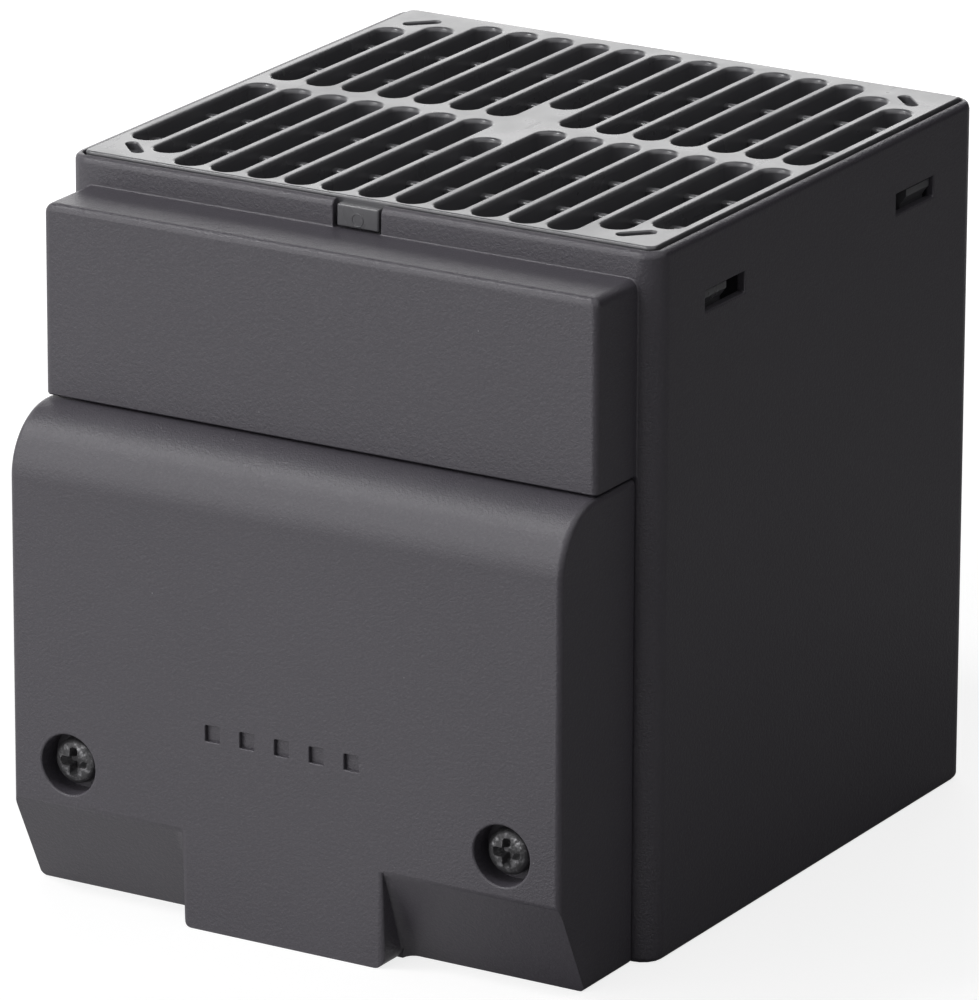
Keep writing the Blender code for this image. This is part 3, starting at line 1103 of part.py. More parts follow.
def main():
    for old in list(bpy.data.objects):
        bpy.data.objects.remove(old)
    housing_plastic = material("matte_black_plastic", (0.075, 0.072, 0.08), 0.6)
    grille_plastic = material("smooth_black_plastic", (0.06, 0.06, 0.065), 0.3)
    fan_plastic = material("fan_plastic", (0.02, 0.02, 0.02), 0.45)
    moulding = material("light_moulding", (0.5, 0.48, 0.42), 0.5)
    carrier_plastic = material("carrier_plastic", (0.12, 0.12, 0.12), 0.5)
    aluminium = material("aluminium", (0.75, 0.75, 0.76), 0.35, 1.0)
    ceramic = material("element_casing", (0.6, 0.6, 0.6), 0.4, 1.0)
    steel = material("zinc_steel", (0.6, 0.6, 0.6), 0.35, 1.0)
    dark_steel = material("dark_steel", (0.12, 0.12, 0.13), 0.4, 1.0)
    brass = material("brass", (0.75, 0.6, 0.3), 0.35, 1.0)
    bronze = material("bronze", (0.55, 0.38, 0.2), 0.4, 1.0)
    magnet = material("magnet", (0.08, 0.08, 0.08), 0.6)
    board = material("circuit_board", (0.05, 0.2, 0.08), 0.5)

    frame = empty("duct", (0, DUCT_Y, 0))
    fan = empty("fan", (0, 0, FAN_Z), frame)
    spin = empty("fan_axis", (0, 0, 0), fan)

    make_housing(housing_plastic, frame)
    make_terminal_cover(housing_plastic, frame)
    make_outlet_grille(grille_plastic, frame)
    make_inlet_guard(grille_plastic, frame)
    make_fan_frame(fan_plastic, fan)
    make_rotor(fan_plastic, magnet, steel, spin)
    make_motor(bronze, steel, board, fan)
    make_carrier(carrier_plastic, frame)
    make_core(aluminium, ceramic, moulding, frame)
    make_straps(steel, fan_plastic, frame)
    make_terminal_block(moulding, brass, frame)
    make_strain_relief(moulding, frame)
    make_rail_clip(carrier_plastic, frame)
    make_cover_screws(dark_steel, frame)
    make_screws(steel, frame)


main()
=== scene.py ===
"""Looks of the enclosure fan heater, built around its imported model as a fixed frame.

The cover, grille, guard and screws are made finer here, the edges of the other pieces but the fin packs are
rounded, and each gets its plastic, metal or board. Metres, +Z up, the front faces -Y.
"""

import json
import math

import bmesh
import bpy
from mathutils import Matrix, Vector, noise

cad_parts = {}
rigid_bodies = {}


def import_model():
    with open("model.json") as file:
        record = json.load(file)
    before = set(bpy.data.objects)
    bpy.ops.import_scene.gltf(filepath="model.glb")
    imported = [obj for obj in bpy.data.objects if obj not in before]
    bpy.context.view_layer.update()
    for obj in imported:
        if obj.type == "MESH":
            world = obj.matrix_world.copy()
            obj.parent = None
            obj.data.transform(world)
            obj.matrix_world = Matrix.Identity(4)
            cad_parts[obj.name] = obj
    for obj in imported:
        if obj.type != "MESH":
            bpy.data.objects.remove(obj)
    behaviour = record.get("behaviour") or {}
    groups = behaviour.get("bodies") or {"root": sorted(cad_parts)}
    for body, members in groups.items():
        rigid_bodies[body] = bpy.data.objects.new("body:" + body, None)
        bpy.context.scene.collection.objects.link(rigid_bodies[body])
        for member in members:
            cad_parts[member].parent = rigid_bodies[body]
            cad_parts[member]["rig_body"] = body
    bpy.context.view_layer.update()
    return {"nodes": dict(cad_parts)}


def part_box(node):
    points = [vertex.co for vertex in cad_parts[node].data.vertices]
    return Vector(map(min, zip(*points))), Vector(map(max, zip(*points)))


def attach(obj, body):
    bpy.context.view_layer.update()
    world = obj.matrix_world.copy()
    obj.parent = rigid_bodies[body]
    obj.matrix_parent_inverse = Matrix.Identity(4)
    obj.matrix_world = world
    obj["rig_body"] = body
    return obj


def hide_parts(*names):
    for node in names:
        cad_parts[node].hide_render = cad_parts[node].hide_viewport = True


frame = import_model()

MM = 0.001

# The duct, as the frame has it
WIDTH = 85 * MM
DEPTH = 82 * MM
HEIGHT = 91.5 * MM
FRONT_Y = -36.65 * MM
DUCT_Y = FRONT_Y + DEPTH / 2
RIM_WALL = 1.2 * MM
CLEARANCE = 0.3 * MM
INNER_RADIUS = 1.2 * MM

# Terminal cover
COVER_WIDTH = 79.4 * MM
COVER_PROJECTION = 17.8 * MM
COVER_TOP = 62.9 * MM
COVER_TOP_RADIUS = 8.3 * MM
COVER_END_ROUNDING = 0.8 * MM
SHELL = 2 * MM
SLOPE_HEIGHT = 12.8 * MM
SLOPE_SETBACK = 6.3 * MM
CREASE_RADIUS = 3 * MM
CREASE_STEPS = 5
CHUTE_WIDTH = 29.2 * MM
CHUTE_CORNER = 0.8 * MM
CHUTE_FILLET = 1.5 * MM
CHUTE_FOOT_RADIUS = 1.3 * MM
CHUTE_BACK_GAP = 3.6 * MM
FEATHER = 0.05 * MM
TONGUE_WIDTH = 60 * MM
TONGUE_PLACE = (-7.2 * MM, -5.7 * MM)
TONGUE_HEIGHT = 3 * MM
MARK_COUNT = 5
MARK_SIZE = 2.1 * MM
MARK_PITCH = 5.03 * MM
MARK_HEIGHT = 26.15 * MM
MARK_DEPTH = 0.6 * MM
MARK_ROUNDING = 0.15 * MM
WELL_SPACING = 62.9 * MM
WELL_HEIGHT = 18.15 * MM
WELL_RADIUS = 3.95 * MM
WELL_WALL = 1.6 * MM
WELL_DEPTH = 3.6 * MM
WELL_FLOOR = 2 * MM
WELL_MOUTH = 0.3 * MM
WELL_HOLE = 1.7 * MM

# Outlet grille
PLATE_WIDTH = WIDTH - 2 * (RIM_WALL + CLEARANCE)
PLATE_DEPTH = DEPTH - 2 * (RIM_WALL + CLEARANCE)
GRILLE_DEPTH = 6.5 * MM
GRILLE_RISE = 0.35 * MM
PLATE_ROUNDING = 0.35 * MM
SLOT_COLUMNS = 15
SLOT_PITCH = 5.37 * MM
SLOT_WIDTH = 3.8 * MM
SLOT_ROUNDING = 0.6 * MM
SLOT_DRAFT = 0.15 * MM
SLOT_MARGIN = 2.1 * MM
OUTER_SHIFT = -0.5 * MM
NEAR_SHIFT = -0.5 * MM
CENTRE_BAR = 3.4 * MM
CORNER_STEP = 3.5 * MM
CENTRE_STEP = 6.8 * MM
RIB_OFFSETS = (12.8 * MM, 25.7 * MM)
RIB_WIDTH = 1.4 * MM
RIB_DROP = 1.5 * MM
DIMPLE_INSET = 4.9 * MM
DIMPLE_LENGTH = 5 * MM
DIMPLE_WIDTH = 1.5 * MM
DIMPLE_DEPTH = 1 * MM
DIMPLE_ROUNDING = 0.25 * MM
WINDOW_OFFSET = 24.4 * MM
WINDOW_LENGTH = 10 * MM
WINDOW_HEIGHT = 2.8 * MM
WINDOW_DROP = 7.4 * MM
HOOK_LENGTH = 6 * MM
HOOK_THICKNESS = 1.6 * MM
HOOK_NOSE = 0.9 * MM
HOOK_FOOT = 11.2 * MM
SNAP_LEFT = -2.85 * MM
SNAP_RIGHT = 3.15 * MM
SNAP_LOW = 88.3 * MM
SNAP_TOP = 91.15 * MM
SNAP_ROUNDING = 0.5 * MM
EJECTOR_RADIUS = 0.8 * MM
EJECTOR_WIRE = 0.07 * MM
EJECTOR_HEIGHT = 89.4 * MM
SINK = 1 * MM
OVERCUT = 2 * MM

# Inlet guard
GUARD_THICKNESS = 2.5 * MM
GUARD_RECESS = 0.6 * MM
GUARD_RINGS = 4
GUARD_RING_START = 10 * MM
GUARD_RING_PITCH = 5.8 * MM
GUARD_RING_GAP = 4.4 * MM
GUARD_SPOKE = 3 * MM
GUARD_ROUNDING = 0.4 * MM
GUARD_WELL_SPACING = 60 * MM
GUARD_WELL_RADIUS = 3 * MM
GUARD_WELL_DEPTH = 1.7 * MM
GUARD_HOLE_RADIUS = 1.7 * MM

# Screws: head radius, head height, shank radius, and the span of the cross recess
SMALL_SCREW = (2.1 * MM, 1.4 * MM, 1.1 * MM, 2.3 * MM)
MIDDLE_SCREW = (2.7 * MM, 1.8 * MM, 1.4 * MM, 3.1 * MM)
COVER_SCREW = (3 * MM, 2.1 * MM, 1.4 * MM, 3.8 * MM)
RECESS_WIDTH_SHARE = 0.29
RECESS_DEPTH_SHARE = 0.67
RECESS_TAPER = 0.6
TIP_TAPER = 0.6
HEAD_PROFILE = ((1, 0), (1, 0.45), (0.98, 0.62), (0.92, 0.77), (0.82, 0.885), (0.68, 0.96), (0.4, 0.995))
SCREW_STEPS = 48
WORN_DEPTH = 0.07 * MM
WORN_GRAIN = 0.35 * MM

FOUR_CORNERS = [(x, y) for y in (-1, 1) for x in (-1, 1)]


# Shapes


def on_axis(u, v, w, axis):
    """A point with w along the axis, and u and v along the other two, in their usual order."""
    return {"X": (w, u, v), "Y": (u, w, v), "Z": (u, v, w)}[axis]


def filleted(corners, steps=6):
    """A closed outline through (x, y, radius) corners, each rounded by its radius."""
    points = []
    for index, (x, y, radius) in enumerate(corners):
        here = Vector((x, y))
        if not radius:
            points.append((x, y))
            continue
        before = (Vector(corners[index - 1][:2]) - here).normalized()
        after = (Vector(corners[(index + 1) % len(corners)][:2]) - here).normalized()
        half = before.angle(after) / 2
        centre = here + (before + after).normalized() * radius / math.sin(half)
        start = here + before * radius / math.tan(half) - centre
        end = here + after * radius / math.tan(half) - centre
        first = math.atan2(start.y, start.x)
        sweep = math.remainder(math.atan2(end.y, end.x) - first, 2 * math.pi)
        turns = [first + sweep * step / steps for step in range(steps + 1)]
        points += [(centre.x + radius * math.cos(turn), centre.y + radius * math.sin(turn)) for turn in turns]
    return points


def rectangle(width, depth, radius=0.0, centre=(0, 0)):
    x, y = width / 2, depth / 2
    corners = ((-1, -1), (1, -1), (1, 1), (-1, 1))
    return filleted([(centre[0] + i * x, centre[1] + j * y, radius) for i, j in corners])


def circle(radius, steps, centre=(0, 0)):
    turns = [2 * math.pi * step / steps for step in range(steps)]
    return [(centre[0] + radius * math.cos(turn), centre[1] + radius * math.sin(turn)) for turn in turns]


def slot_outline(radius, low, high, x=0.0, steps=12):
    """A slot with round ends, whose tips are at low and high."""
    half_turns = [math.pi * step / steps for step in range(steps + 1)]
    far = [(x + radius * math.cos(turn), high - radius + radius * math.sin(turn)) for turn in half_turns]
    near = [(x - radius * math.cos(turn), low + radius - radius * math.sin(turn)) for turn in half_turns]
    return far + near


def rounding(radius, steps=4):
    """Pairs of inset and drop that follow a quarter round, from its foot to its top."""
    turns = [math.pi / 2 * step / steps for step in range(steps + 1)]
    return [(radius * (1 - math.cos(turn)), radius * (1 - math.sin(turn))) for turn in turns]


def loft(shape, sections, axis="Z"):
    """Adds a closed solid through outlines of equal length, each with its place along the axis."""
    rings = [[shape.verts.new(on_axis(u, v, w, axis)) for u, v in outline] for outline, w in sections]
    for lower, upper in zip(rings, rings[1:]):
        for i in range(len(lower)):
            shape.faces.new((lower[i - 1], lower[i], upper[i], upper[i - 1]))
    shape.faces.new(rings[0])
    shape.faces.new(rings[-1])


def block(shape, x, y, z, rounded=0.0):
    """Adds a box between the two places given for each axis, with its edges rounded."""
    corners = [(x[i], y[j], z[k]) for i in (0, 1) for j in (0, 1) for k in (0, 1)]
    verts = [shape.verts.new(corner) for corner in corners]
    faces = ((0, 1, 3, 2), (4, 6, 7, 5), (0, 4, 5, 1), (2, 3, 7, 6), (0, 2, 6, 4), (1, 5, 7, 3))
    made = [shape.faces.new([verts[i] for i in face]) for face in faces]
    if rounded:
        edges = list({edge for face in made for edge in face.edges})
        bmesh.ops.bevel(shape, geom=edges, offset=rounded, segments=3, profile=0.5, affect="EDGES")


def turned(shape, profile, steps):
    """Adds a solid of revolution about Z from (radius, height) points, from one pole to the other."""
    rings = []
    for radius, height in profile:
        turns = [2 * math.pi * step / steps for step in range(steps if radius else 1)]
        rings.append([shape.verts.new((radius * math.cos(t), radius * math.sin(t), height)) for t in turns])
    for lower, upper in zip(rings, rings[1:]):
        for i in range(steps):
            if len(lower) == 1:
                corners = (lower[0], upper[i], upper[i - 1])
            elif len(upper) == 1:
                corners = (lower[i - 1], lower[i], upper[0])
            else:
                corners = (lower[i - 1], lower[i], upper[i], upper[i - 1])
            shape.faces.new(corners)


def ring(shape, radius, wire, place, steps=32, wire_steps=8):
    """Adds a thin ring of round section that lies in the XZ plane around its place."""
    rings = []
    for step in range(steps):
        turn = 2 * math.pi * step / steps
        out = Vector((math.cos(turn), 0, math.sin(turn)))
        bends = [2 * math.pi * bend / wire_steps for bend in range(wire_steps)]
        middle = Vector(place) + out * radius
        across = [out * math.cos(bend) + Vector((0, 1, 0)) * math.sin(bend) for bend in bends]
        rings.append([shape.verts.new(middle + wire * side) for side in across])
    for index, here in enumerate(rings):
        before = rings[index - 1]
        for i in range(wire_steps):
            shape.faces.new((before[i - 1], before[i], here[i], here[i - 1]))


def cross(span, width):
    """The outline of an upright cross with rounded arms and inner corners."""
    s, w = span / 2, width / 2
    quarter = [(s, -w, w * 0.6), (s, w, w * 0.6), (w, w, w * 0.3)]
    turns = ((1, 0), (0, 1), (-1, 0), (0, -1))
    return filleted([(u * c - v * d, u * d + v * c, r) for c, d in turns for u, v, r in quarter], 3)


# Pieces


def as_object(name, shape):
    bmesh.ops.recalc_face_normals(shape, faces=shape.faces[:])
    mesh = bpy.data.meshes.new(name)
    shape.to_mesh(mesh)
    shape.free()
    piece = bpy.data.objects.new(name, mesh)
    bpy.context.scene.collection.objects.link(piece)
    return piece


def combine(piece, operation, tool):
    """Joins or cuts the piece with the tool, which is used up."""
    modifier = piece.modifiers.new(operation, "BOOLEAN")
    modifier.operation = operation
    modifier.object = tool
    modifier.solver = "EXACT"
    evaluated = piece.evaluated_get(bpy.context.evaluated_depsgraph_get())
    done = bpy.data.meshes.new_from_object(evaluated)
    piece.modifiers.clear()
    piece.data = done
    bpy.data.objects.remove(tool)


def smoothed(piece, angle=35, edge=0.0):
    """Shades round faces round and keeps flat faces flat, after it has rounded the edges by this much."""
    piece.data.shade_smooth()
    piece.data.set_sharp_from_angle(angle=math.radians(angle))
    if edge:
        modifier = piece.modifiers.new("rounded edges", "BEVEL")
        modifier.width = edge
        modifier.segments = 3
        modifier.limit_method = "ANGLE"
        modifier.angle_limit = math.radians(40)
        modifier.use_clamp_overlap = False
    modifier = piece.modifiers.new("even shading", "WEIGHTED_NORMAL")
    modifier.keep_sharp = True


def whole_faces(piece):
    """Joins triangles that lie in one plane, two by two, so that the bevel finds the real edges."""
    shape = bmesh.new()
    shape.from_mesh(piece.data)
    bmesh.ops.remove_doubles(shape, verts=shape.verts[:], dist=0.002 * MM)
    flat = {"angle_face_threshold": math.radians(0.5), "angle_shape_threshold": math.pi}
    bmesh.ops.join_triangles(shape, faces=shape.faces[:], **flat)
    shape.to_mesh(piece.data)
    shape.free()


def settle(piece, node, finish):
    """Gives the piece its finish and lets it stand for its CAD node."""
    piece.data.materials.clear()
    piece.data.materials.append(FINISHES[finish])
    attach(piece, frame["nodes"][node]["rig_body"])
    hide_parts(node)


def dress(node, finish, edge):
    """The CAD node's own form, with its sharp edges rounded by this much."""
    piece = bpy.data.objects.new(f"{node}_dressed", frame["nodes"][node].data.copy())
    bpy.context.scene.collection.objects.link(piece)
    whole_faces(piece)
    smoothed(piece, edge=edge)
    settle(piece, node, finish)


def slot_ends(column, row):
    """Where the near and far tip of a slot lie, for a column from 0 and the front (-1) or rear (1) row.

    The outer tips lie a little to the front of the plate's own symmetry, and so do all near tips.
    """
    from_side = min(column, SLOT_COLUMNS - 1 - column)
    outer = PLATE_DEPTH / 2 - SLOT_MARGIN - CORNER_STEP * max(0, 2 - from_side)
    inner = CENTRE_BAR / 2 + (CENTRE_STEP if column == SLOT_COLUMNS // 2 else 0)
    low, high = sorted((row * inner, row * outer + OUTER_SHIFT))
    return low + NEAR_SHIFT, high


def make_grille_plate():
    """The plate with its slots and corner dimples, around its own middle and with the rim's top at 0."""
    shape = bmesh.new()
    levels = [(rectangle(PLATE_WIDTH, PLATE_DEPTH, INNER_RADIUS), -GRILLE_DEPTH)]
    for inset, drop in rounding(PLATE_ROUNDING):
        outline = rectangle(PLATE_WIDTH - 2 * inset, PLATE_DEPTH - 2 * inset, INNER_RADIUS - inset)
        levels.append((outline, GRILLE_RISE - drop))
    loft(shape, levels)
    plate = as_object("outlet_grille_fine", shape)

    shape = bmesh.new()
    radius = SLOT_WIDTH / 2
    for column in range(SLOT_COLUMNS):
        x = SLOT_PITCH * (column - (SLOT_COLUMNS - 1) / 2)
        for row in (-1, 1):
            low, high = slot_ends(column, row)
            narrow = slot_outline(radius - SLOT_DRAFT, low + SLOT_DRAFT, high - SLOT_DRAFT, x)
            levels = [(narrow, -GRILLE_DEPTH - OVERCUT)]
            for wider, drop in rounding(SLOT_ROUNDING):
                outline = slot_outline(radius + wider, low - wider, high + wider, x)
                levels.append((outline, GRILLE_RISE - drop))
            loft(shape, levels + [(levels[-1][0], OVERCUT)])
    for i, j in FOUR_CORNERS:
        x, y = i * (PLATE_WIDTH / 2 - DIMPLE_INSET), j * (PLATE_DEPTH / 2 - DIMPLE_INSET)
        middle = Vector((x, y + OUTER_SHIFT))
        along, across = Vector((i, -j)).normalized(), Vector((j, i)).normalized()
        levels = []
        for wider, drop in rounding(DIMPLE_ROUNDING):
            half = DIMPLE_LENGTH / 2 + wider
            outline = slot_outline(DIMPLE_WIDTH / 2 + wider, -half, half, steps=8)
            placed = [tuple(middle + across * u + along * v) for u, v in outline]
            levels.append((placed, GRILLE_RISE - drop))
        loft(shape, [(levels[0][0], GRILLE_RISE - DIMPLE_DEPTH)] + levels + [(levels[-1][0], OVERCUT)])
    combine(plate, "DIFFERENCE", as_object("slots", shape))
    return plate


def add_ribs(shape):
    """Cross ribs below the bars, round on top."""
    reach = PLATE_WIDTH / 2 - SINK
    bottom, top = SINK / 2 - GRILLE_DEPTH, GRILLE_RISE - RIB_DROP
    for offset in RIB_OFFSETS:
        for side in (-1, 1):
            y = side * offset
            span = (y - RIB_WIDTH / 2, y + RIB_WIDTH / 2)
            block(shape, (-reach, reach), span, (bottom, top), RIB_WIDTH * 0.3)


def add_hooks(shape):
    """The four hooks that snap into the windows of the housing."""
    top = -WINDOW_DROP - CLEARANCE
    bottom = -WINDOW_DROP - WINDOW_HEIGHT + CLEARANCE
    edge = 0.15 * MM
    for i, j in FOUR_CORNERS:
        x = i * PLATE_WIDTH / 2
        inner, nose = x - i * HOOK_THICKNESS, x + i * HOOK_NOSE
        hook = [(inner, -HOOK_FOOT, 0), (x, -HOOK_FOOT, 0), (x, bottom, 0), (nose, top - SINK, edge)]
        hook += [(nose, top, edge), (x, top, edge), (x, SINK - GRILLE_DEPTH, 0)]
        hook += [(inner, SINK - GRILLE_DEPTH, 0)]
        low = j * WINDOW_OFFSET - WINDOW_LENGTH / 2 + CLEARANCE
        if j > 0:
            low += WINDOW_LENGTH - HOOK_LENGTH - 2 * CLEARANCE
        outline = filleted(hook, 3)
        ends = [[shape.verts.new((u, y, w)) for u, w in outline] for y in (low, low + HOOK_LENGTH)]
        for index in range(len(outline)):
            shape.faces.new((ends[0][index - 1], ends[0][index], ends[1][index], ends[1][index - 1]))
        shape.faces.new(ends[0])
        shape.faces.new(ends[1])


def add_snap(shape):
    """The front snap in the collar's notch, with a rounded top and the ring that an ejector pin left."""
    front = -DEPTH / 2
    y = (front, SINK / 2 - PLATE_DEPTH / 2)
    z = (SNAP_LOW - HEIGHT, SNAP_TOP - HEIGHT)
    block(shape, (SNAP_LEFT, SNAP_RIGHT), y, z, SNAP_ROUNDING / 2)
    middle = (SNAP_LEFT + SNAP_RIGHT) / 2
    ring(shape, EJECTOR_RADIUS, EJECTOR_WIRE, (middle, front, EJECTOR_HEIGHT - HEIGHT))


def make_outlet_grille():
    plate = make_grille_plate()
    shape = bmesh.new()
    add_ribs(shape)
    add_hooks(shape)
    add_snap(shape)
    bmesh.ops.recalc_face_normals(shape, faces=shape.faces[:])
    shape.from_mesh(plate.data)
    shape.to_mesh(plate.data)
    shape.free()
    plate.data.transform(Matrix.Translation((0, DUCT_Y, HEIGHT)))
    smoothed(plate)
    settle(plate, "outlet_grille", "smooth_black_plastic")


def ring_quarter(inner, quarter, wider, steps=24):
    """A quarter of the gap between two rings, between its spokes, made wider by this much all round."""
    spoke = (GUARD_SPOKE / 2 - wider) / inner
    first, sweep = quarter * math.pi / 2 + spoke, math.pi / 2 - 2 * spoke
    turns = [first + sweep * step / steps for step in range(steps + 1)]
    low, high = inner - wider, inner + GUARD_RING_GAP + wider
    outside = [(high * math.cos(turn), high * math.sin(turn)) for turn in turns]
    return outside + [(low * math.cos(turn), low * math.sin(turn)) for turn in reversed(turns)]


def make_inlet_guard():
    """The bottom plate with round rings, and wells for the four long screws."""
    shape = bmesh.new()
    levels = []
    for inset, rise in reversed(rounding(GUARD_ROUNDING)):
        outline = rectangle(PLATE_WIDTH - 2 * inset, PLATE_DEPTH - 2 * inset, INNER_RADIUS - inset)
        levels.append((outline, rise))
    loft(shape, levels + [(levels[-1][0], GUARD_THICKNESS)])
    guard = as_object("inlet_guard_fine", shape)
    shape = bmesh.new()
    mouth = list(reversed(rounding(GUARD_ROUNDING)))
    for number in range(GUARD_RINGS):
        inner = GUARD_RING_START + GUARD_RING_PITCH * number
        for quarter in range(4):
            levels = [(ring_quarter(inner, quarter, wider), rise) for wider, rise in mouth]
            loft(shape, [(levels[0][0], -OVERCUT)] + levels + [(levels[-1][0], GUARD_THICKNESS + OVERCUT)])
    for i, j in FOUR_CORNERS:
        place = (i * GUARD_WELL_SPACING / 2, j * GUARD_WELL_SPACING / 2)
        levels = [(circle(GUARD_WELL_RADIUS + wider, 48, place), rise) for wider, rise in mouth]
        levels = [(levels[0][0], -OVERCUT)] + levels + [(levels[-1][0], GUARD_WELL_DEPTH)]
        hole = circle(GUARD_HOLE_RADIUS, 48, place)
        loft(shape, levels + [(hole, GUARD_WELL_DEPTH), (hole, GUARD_THICKNESS + OVERCUT)])
    combine(guard, "DIFFERENCE", as_object("rings", shape))
    guard.data.transform(Matrix.Translation((0, DUCT_Y, GUARD_RECESS)))
    smoothed(guard)
    settle(guard, "inlet_guard", "smooth_black_plastic")


def cover_outline(inset):
    """The cover's side view as (y, z), inset from its outside, with its back left open at the housing."""
    face, top = -COVER_PROJECTION + inset, COVER_TOP - inset
    radius = COVER_TOP_RADIUS - inset
    back = -CLEARANCE
    return filleted([(back, inset, 0), (back, top, 0), (face, top, radius), (face, inset, 0)], 24)


def slope_outline(setback):
    """What is cut away over a slope as (y, z), this far back at the floor, with a soft crease on top."""
    face = -COVER_PROJECTION
    beyond, low = face - OVERCUT, face + setback * (SLOPE_HEIGHT + OVERCUT) / SLOPE_HEIGHT
    slope = math.atan2(max(setback, 0), SLOPE_HEIGHT)
    top = SLOPE_HEIGHT + CREASE_RADIUS * math.tan(slope / 2)
    points = [(beyond, -OVERCUT), (low, -OVERCUT)]
    for step in range(CREASE_STEPS + 1):
        share = step / CREASE_STEPS
        turn = slope * (1 - share)
        out = FEATHER * (share if setback > 0 else 1 + share)
        back, down = CREASE_RADIUS * (1 - math.cos(turn)), CREASE_RADIUS * math.sin(turn)
        points.append((face + back - out, top - down))
    return points + [(beyond, top + OVERCUT)]


def slope_sections():
    """The cut beside the cable chute: over its rounded edge, back along its side and into a fillet."""
    half = CHUTE_WIDTH / 2
    sections = [(half - CHUTE_CORNER, -FEATHER)]
    sections += [(half - drop, inset) for inset, drop in rounding(CHUTE_CORNER, 6)[1:]]
    sections += [(half + inset, SLOPE_SETBACK - drop) for inset, drop in rounding(CHUTE_FILLET, 8)]
    return sections + [(COVER_WIDTH / 2 + OVERCUT, SLOPE_SETBACK)]


def cut_slopes(cover):
    """The sloping foot on both sides of the chute, and the chute's two round lower corners."""
    shape = bmesh.new()
    for side in (-1, 1):
        loft(shape, [(slope_outline(setback), side * place) for place, setback in slope_sections()], "X")
    combine(cover, "DIFFERENCE", as_object("slopes", shape))
    shape = bmesh.new()
    half, radius = CHUTE_WIDTH / 2, CHUTE_FOOT_RADIUS
    depth = (-COVER_PROJECTION - OVERCUT, -COVER_PROJECTION + SLOPE_SETBACK - CHUTE_FILLET)
    for side in (-1, 1):
        turns = [math.pi / 2 * step / 6 for step in range(7)]
        arc = [(half - radius + radius * math.sin(t), radius - radius * math.cos(t)) for t in turns]
        corner = arc + [(half + OVERCUT, radius), (half + OVERCUT, -OVERCUT), (half - radius, -OVERCUT)]
        loft(shape, [([(side * x, z) for x, z in corner], y) for y in depth], "Y")
    combine(cover, "DIFFERENCE", as_object("round_corners", shape))


def cut_hollow(cover):
    """The space behind the cover's face, and the way in for the cable."""
    shape = bmesh.new()
    face, half = -COVER_PROJECTION + SHELL, COVER_WIDTH / 2 - SHELL
    slope_low = SLOPE_SETBACK * (SLOPE_HEIGHT - SHELL) / SLOPE_HEIGHT
    corners = [(OVERCUT, SHELL, 0), (OVERCUT, COVER_TOP - SHELL, 0)]
    corners += [(face, COVER_TOP - SHELL, COVER_TOP_RADIUS - SHELL), (face, SLOPE_HEIGHT, 0)]
    outline = filleted(corners + [(face + slope_low, SHELL, 0)], 12)
    loft(shape, [(outline, -half), (outline, half)], "X")
    combine(cover, "DIFFERENCE", as_object("hollow", shape))
    shape = bmesh.new()
    inner = CHUTE_WIDTH / 2 - SHELL
    block(shape, (-inner, inner), (face, -CHUTE_BACK_GAP), (-OVERCUT, SLOPE_HEIGHT))
    combine(cover, "DIFFERENCE", as_object("cable_entry", shape))


def cut_wells_and_marks(cover):
    """The two screw wells with their bosses, and the row of square marks."""
    outside, face = -COVER_PROJECTION - OVERCUT, -COVER_PROJECTION
    seat, end = face + WELL_DEPTH, face + WELL_DEPTH + WELL_FLOOR
    wells = [(side * WELL_SPACING / 2, WELL_HEIGHT) for side in (-1, 1)]
    bosses, shape = bmesh.new(), bmesh.new()
    for well in wells:
        wall = circle(WELL_RADIUS + WELL_WALL, 64, well)
        loft(bosses, [(wall, face + SINK), (wall, end)], "Y")
        levels = [(circle(WELL_RADIUS + WELL_MOUTH, 64, well), outside)]
        for wider, drop in reversed(rounding(WELL_MOUTH)):
            levels.append((circle(WELL_RADIUS + wider, 64, well), face + drop))
        levels.append((circle(WELL_RADIUS, 64, well), seat))
        hole = circle(WELL_HOLE, 64, well)
        loft(shape, levels + [(hole, seat), (hole, end + OVERCUT)], "Y")
    for mark in range(MARK_COUNT):
        place = (MARK_PITCH * (mark - (MARK_COUNT - 1) / 2), MARK_HEIGHT)
        levels = [(rectangle(MARK_SIZE, MARK_SIZE, MARK_ROUNDING, place), face + MARK_DEPTH)]
        for wider, drop in rounding(MARK_ROUNDING):
            size = MARK_SIZE + 2 * wider
            levels.append((rectangle(size, size, MARK_ROUNDING + wider, place), face + drop))
        loft(shape, levels + [(levels[-1][0], outside)], "Y")
    combine(cover, "UNION", as_object("bosses", bosses))
    combine(cover, "DIFFERENCE", as_object("wells_and_marks", shape))


def make_terminal_cover():
    """The front cover: a round-topped shell with a sloping foot on both sides of its cable chute."""
    x = COVER_WIDTH / 2
    edge = rounding(COVER_END_ROUNDING, 6)
    shape = bmesh.new()
    ends = [(cover_outline(inset), drop - x) for inset, drop in reversed(edge)]
    loft(shape, ends + [(cover_outline(inset), x - drop) for inset, drop in edge], "X")
    cover = as_object("terminal_cover_fine", shape)
    cut_slopes(cover)
    cut_hollow(cover)
    cut_wells_and_marks(cover)
    shape = bmesh.new()
    reach = (-TONGUE_WIDTH / 2, TONGUE_WIDTH / 2)
    block(shape, reach, TONGUE_PLACE, (COVER_TOP - SINK, COVER_TOP + TONGUE_HEIGHT), 0.2 * MM)
    bmesh.ops.recalc_face_normals(shape, faces=shape.faces[:])
    shape.from_mesh(cover.data)
    shape.to_mesh(cover.data)
    shape.free()
    cover.data.transform(Matrix.Translation((0, FRONT_Y, 0)))
    smoothed(cover)
    settle(cover, "terminal_cover", "matte_black_plastic")


FACING = {
    "front": Matrix.Rotation(math.pi / 2, 4, "X"),
    "back": Matrix.Rotation(-math.pi / 2, 4, "X"),
    "down": Matrix.Rotation(math.pi, 4, "X"),
    "up": Matrix.Identity(4),
}


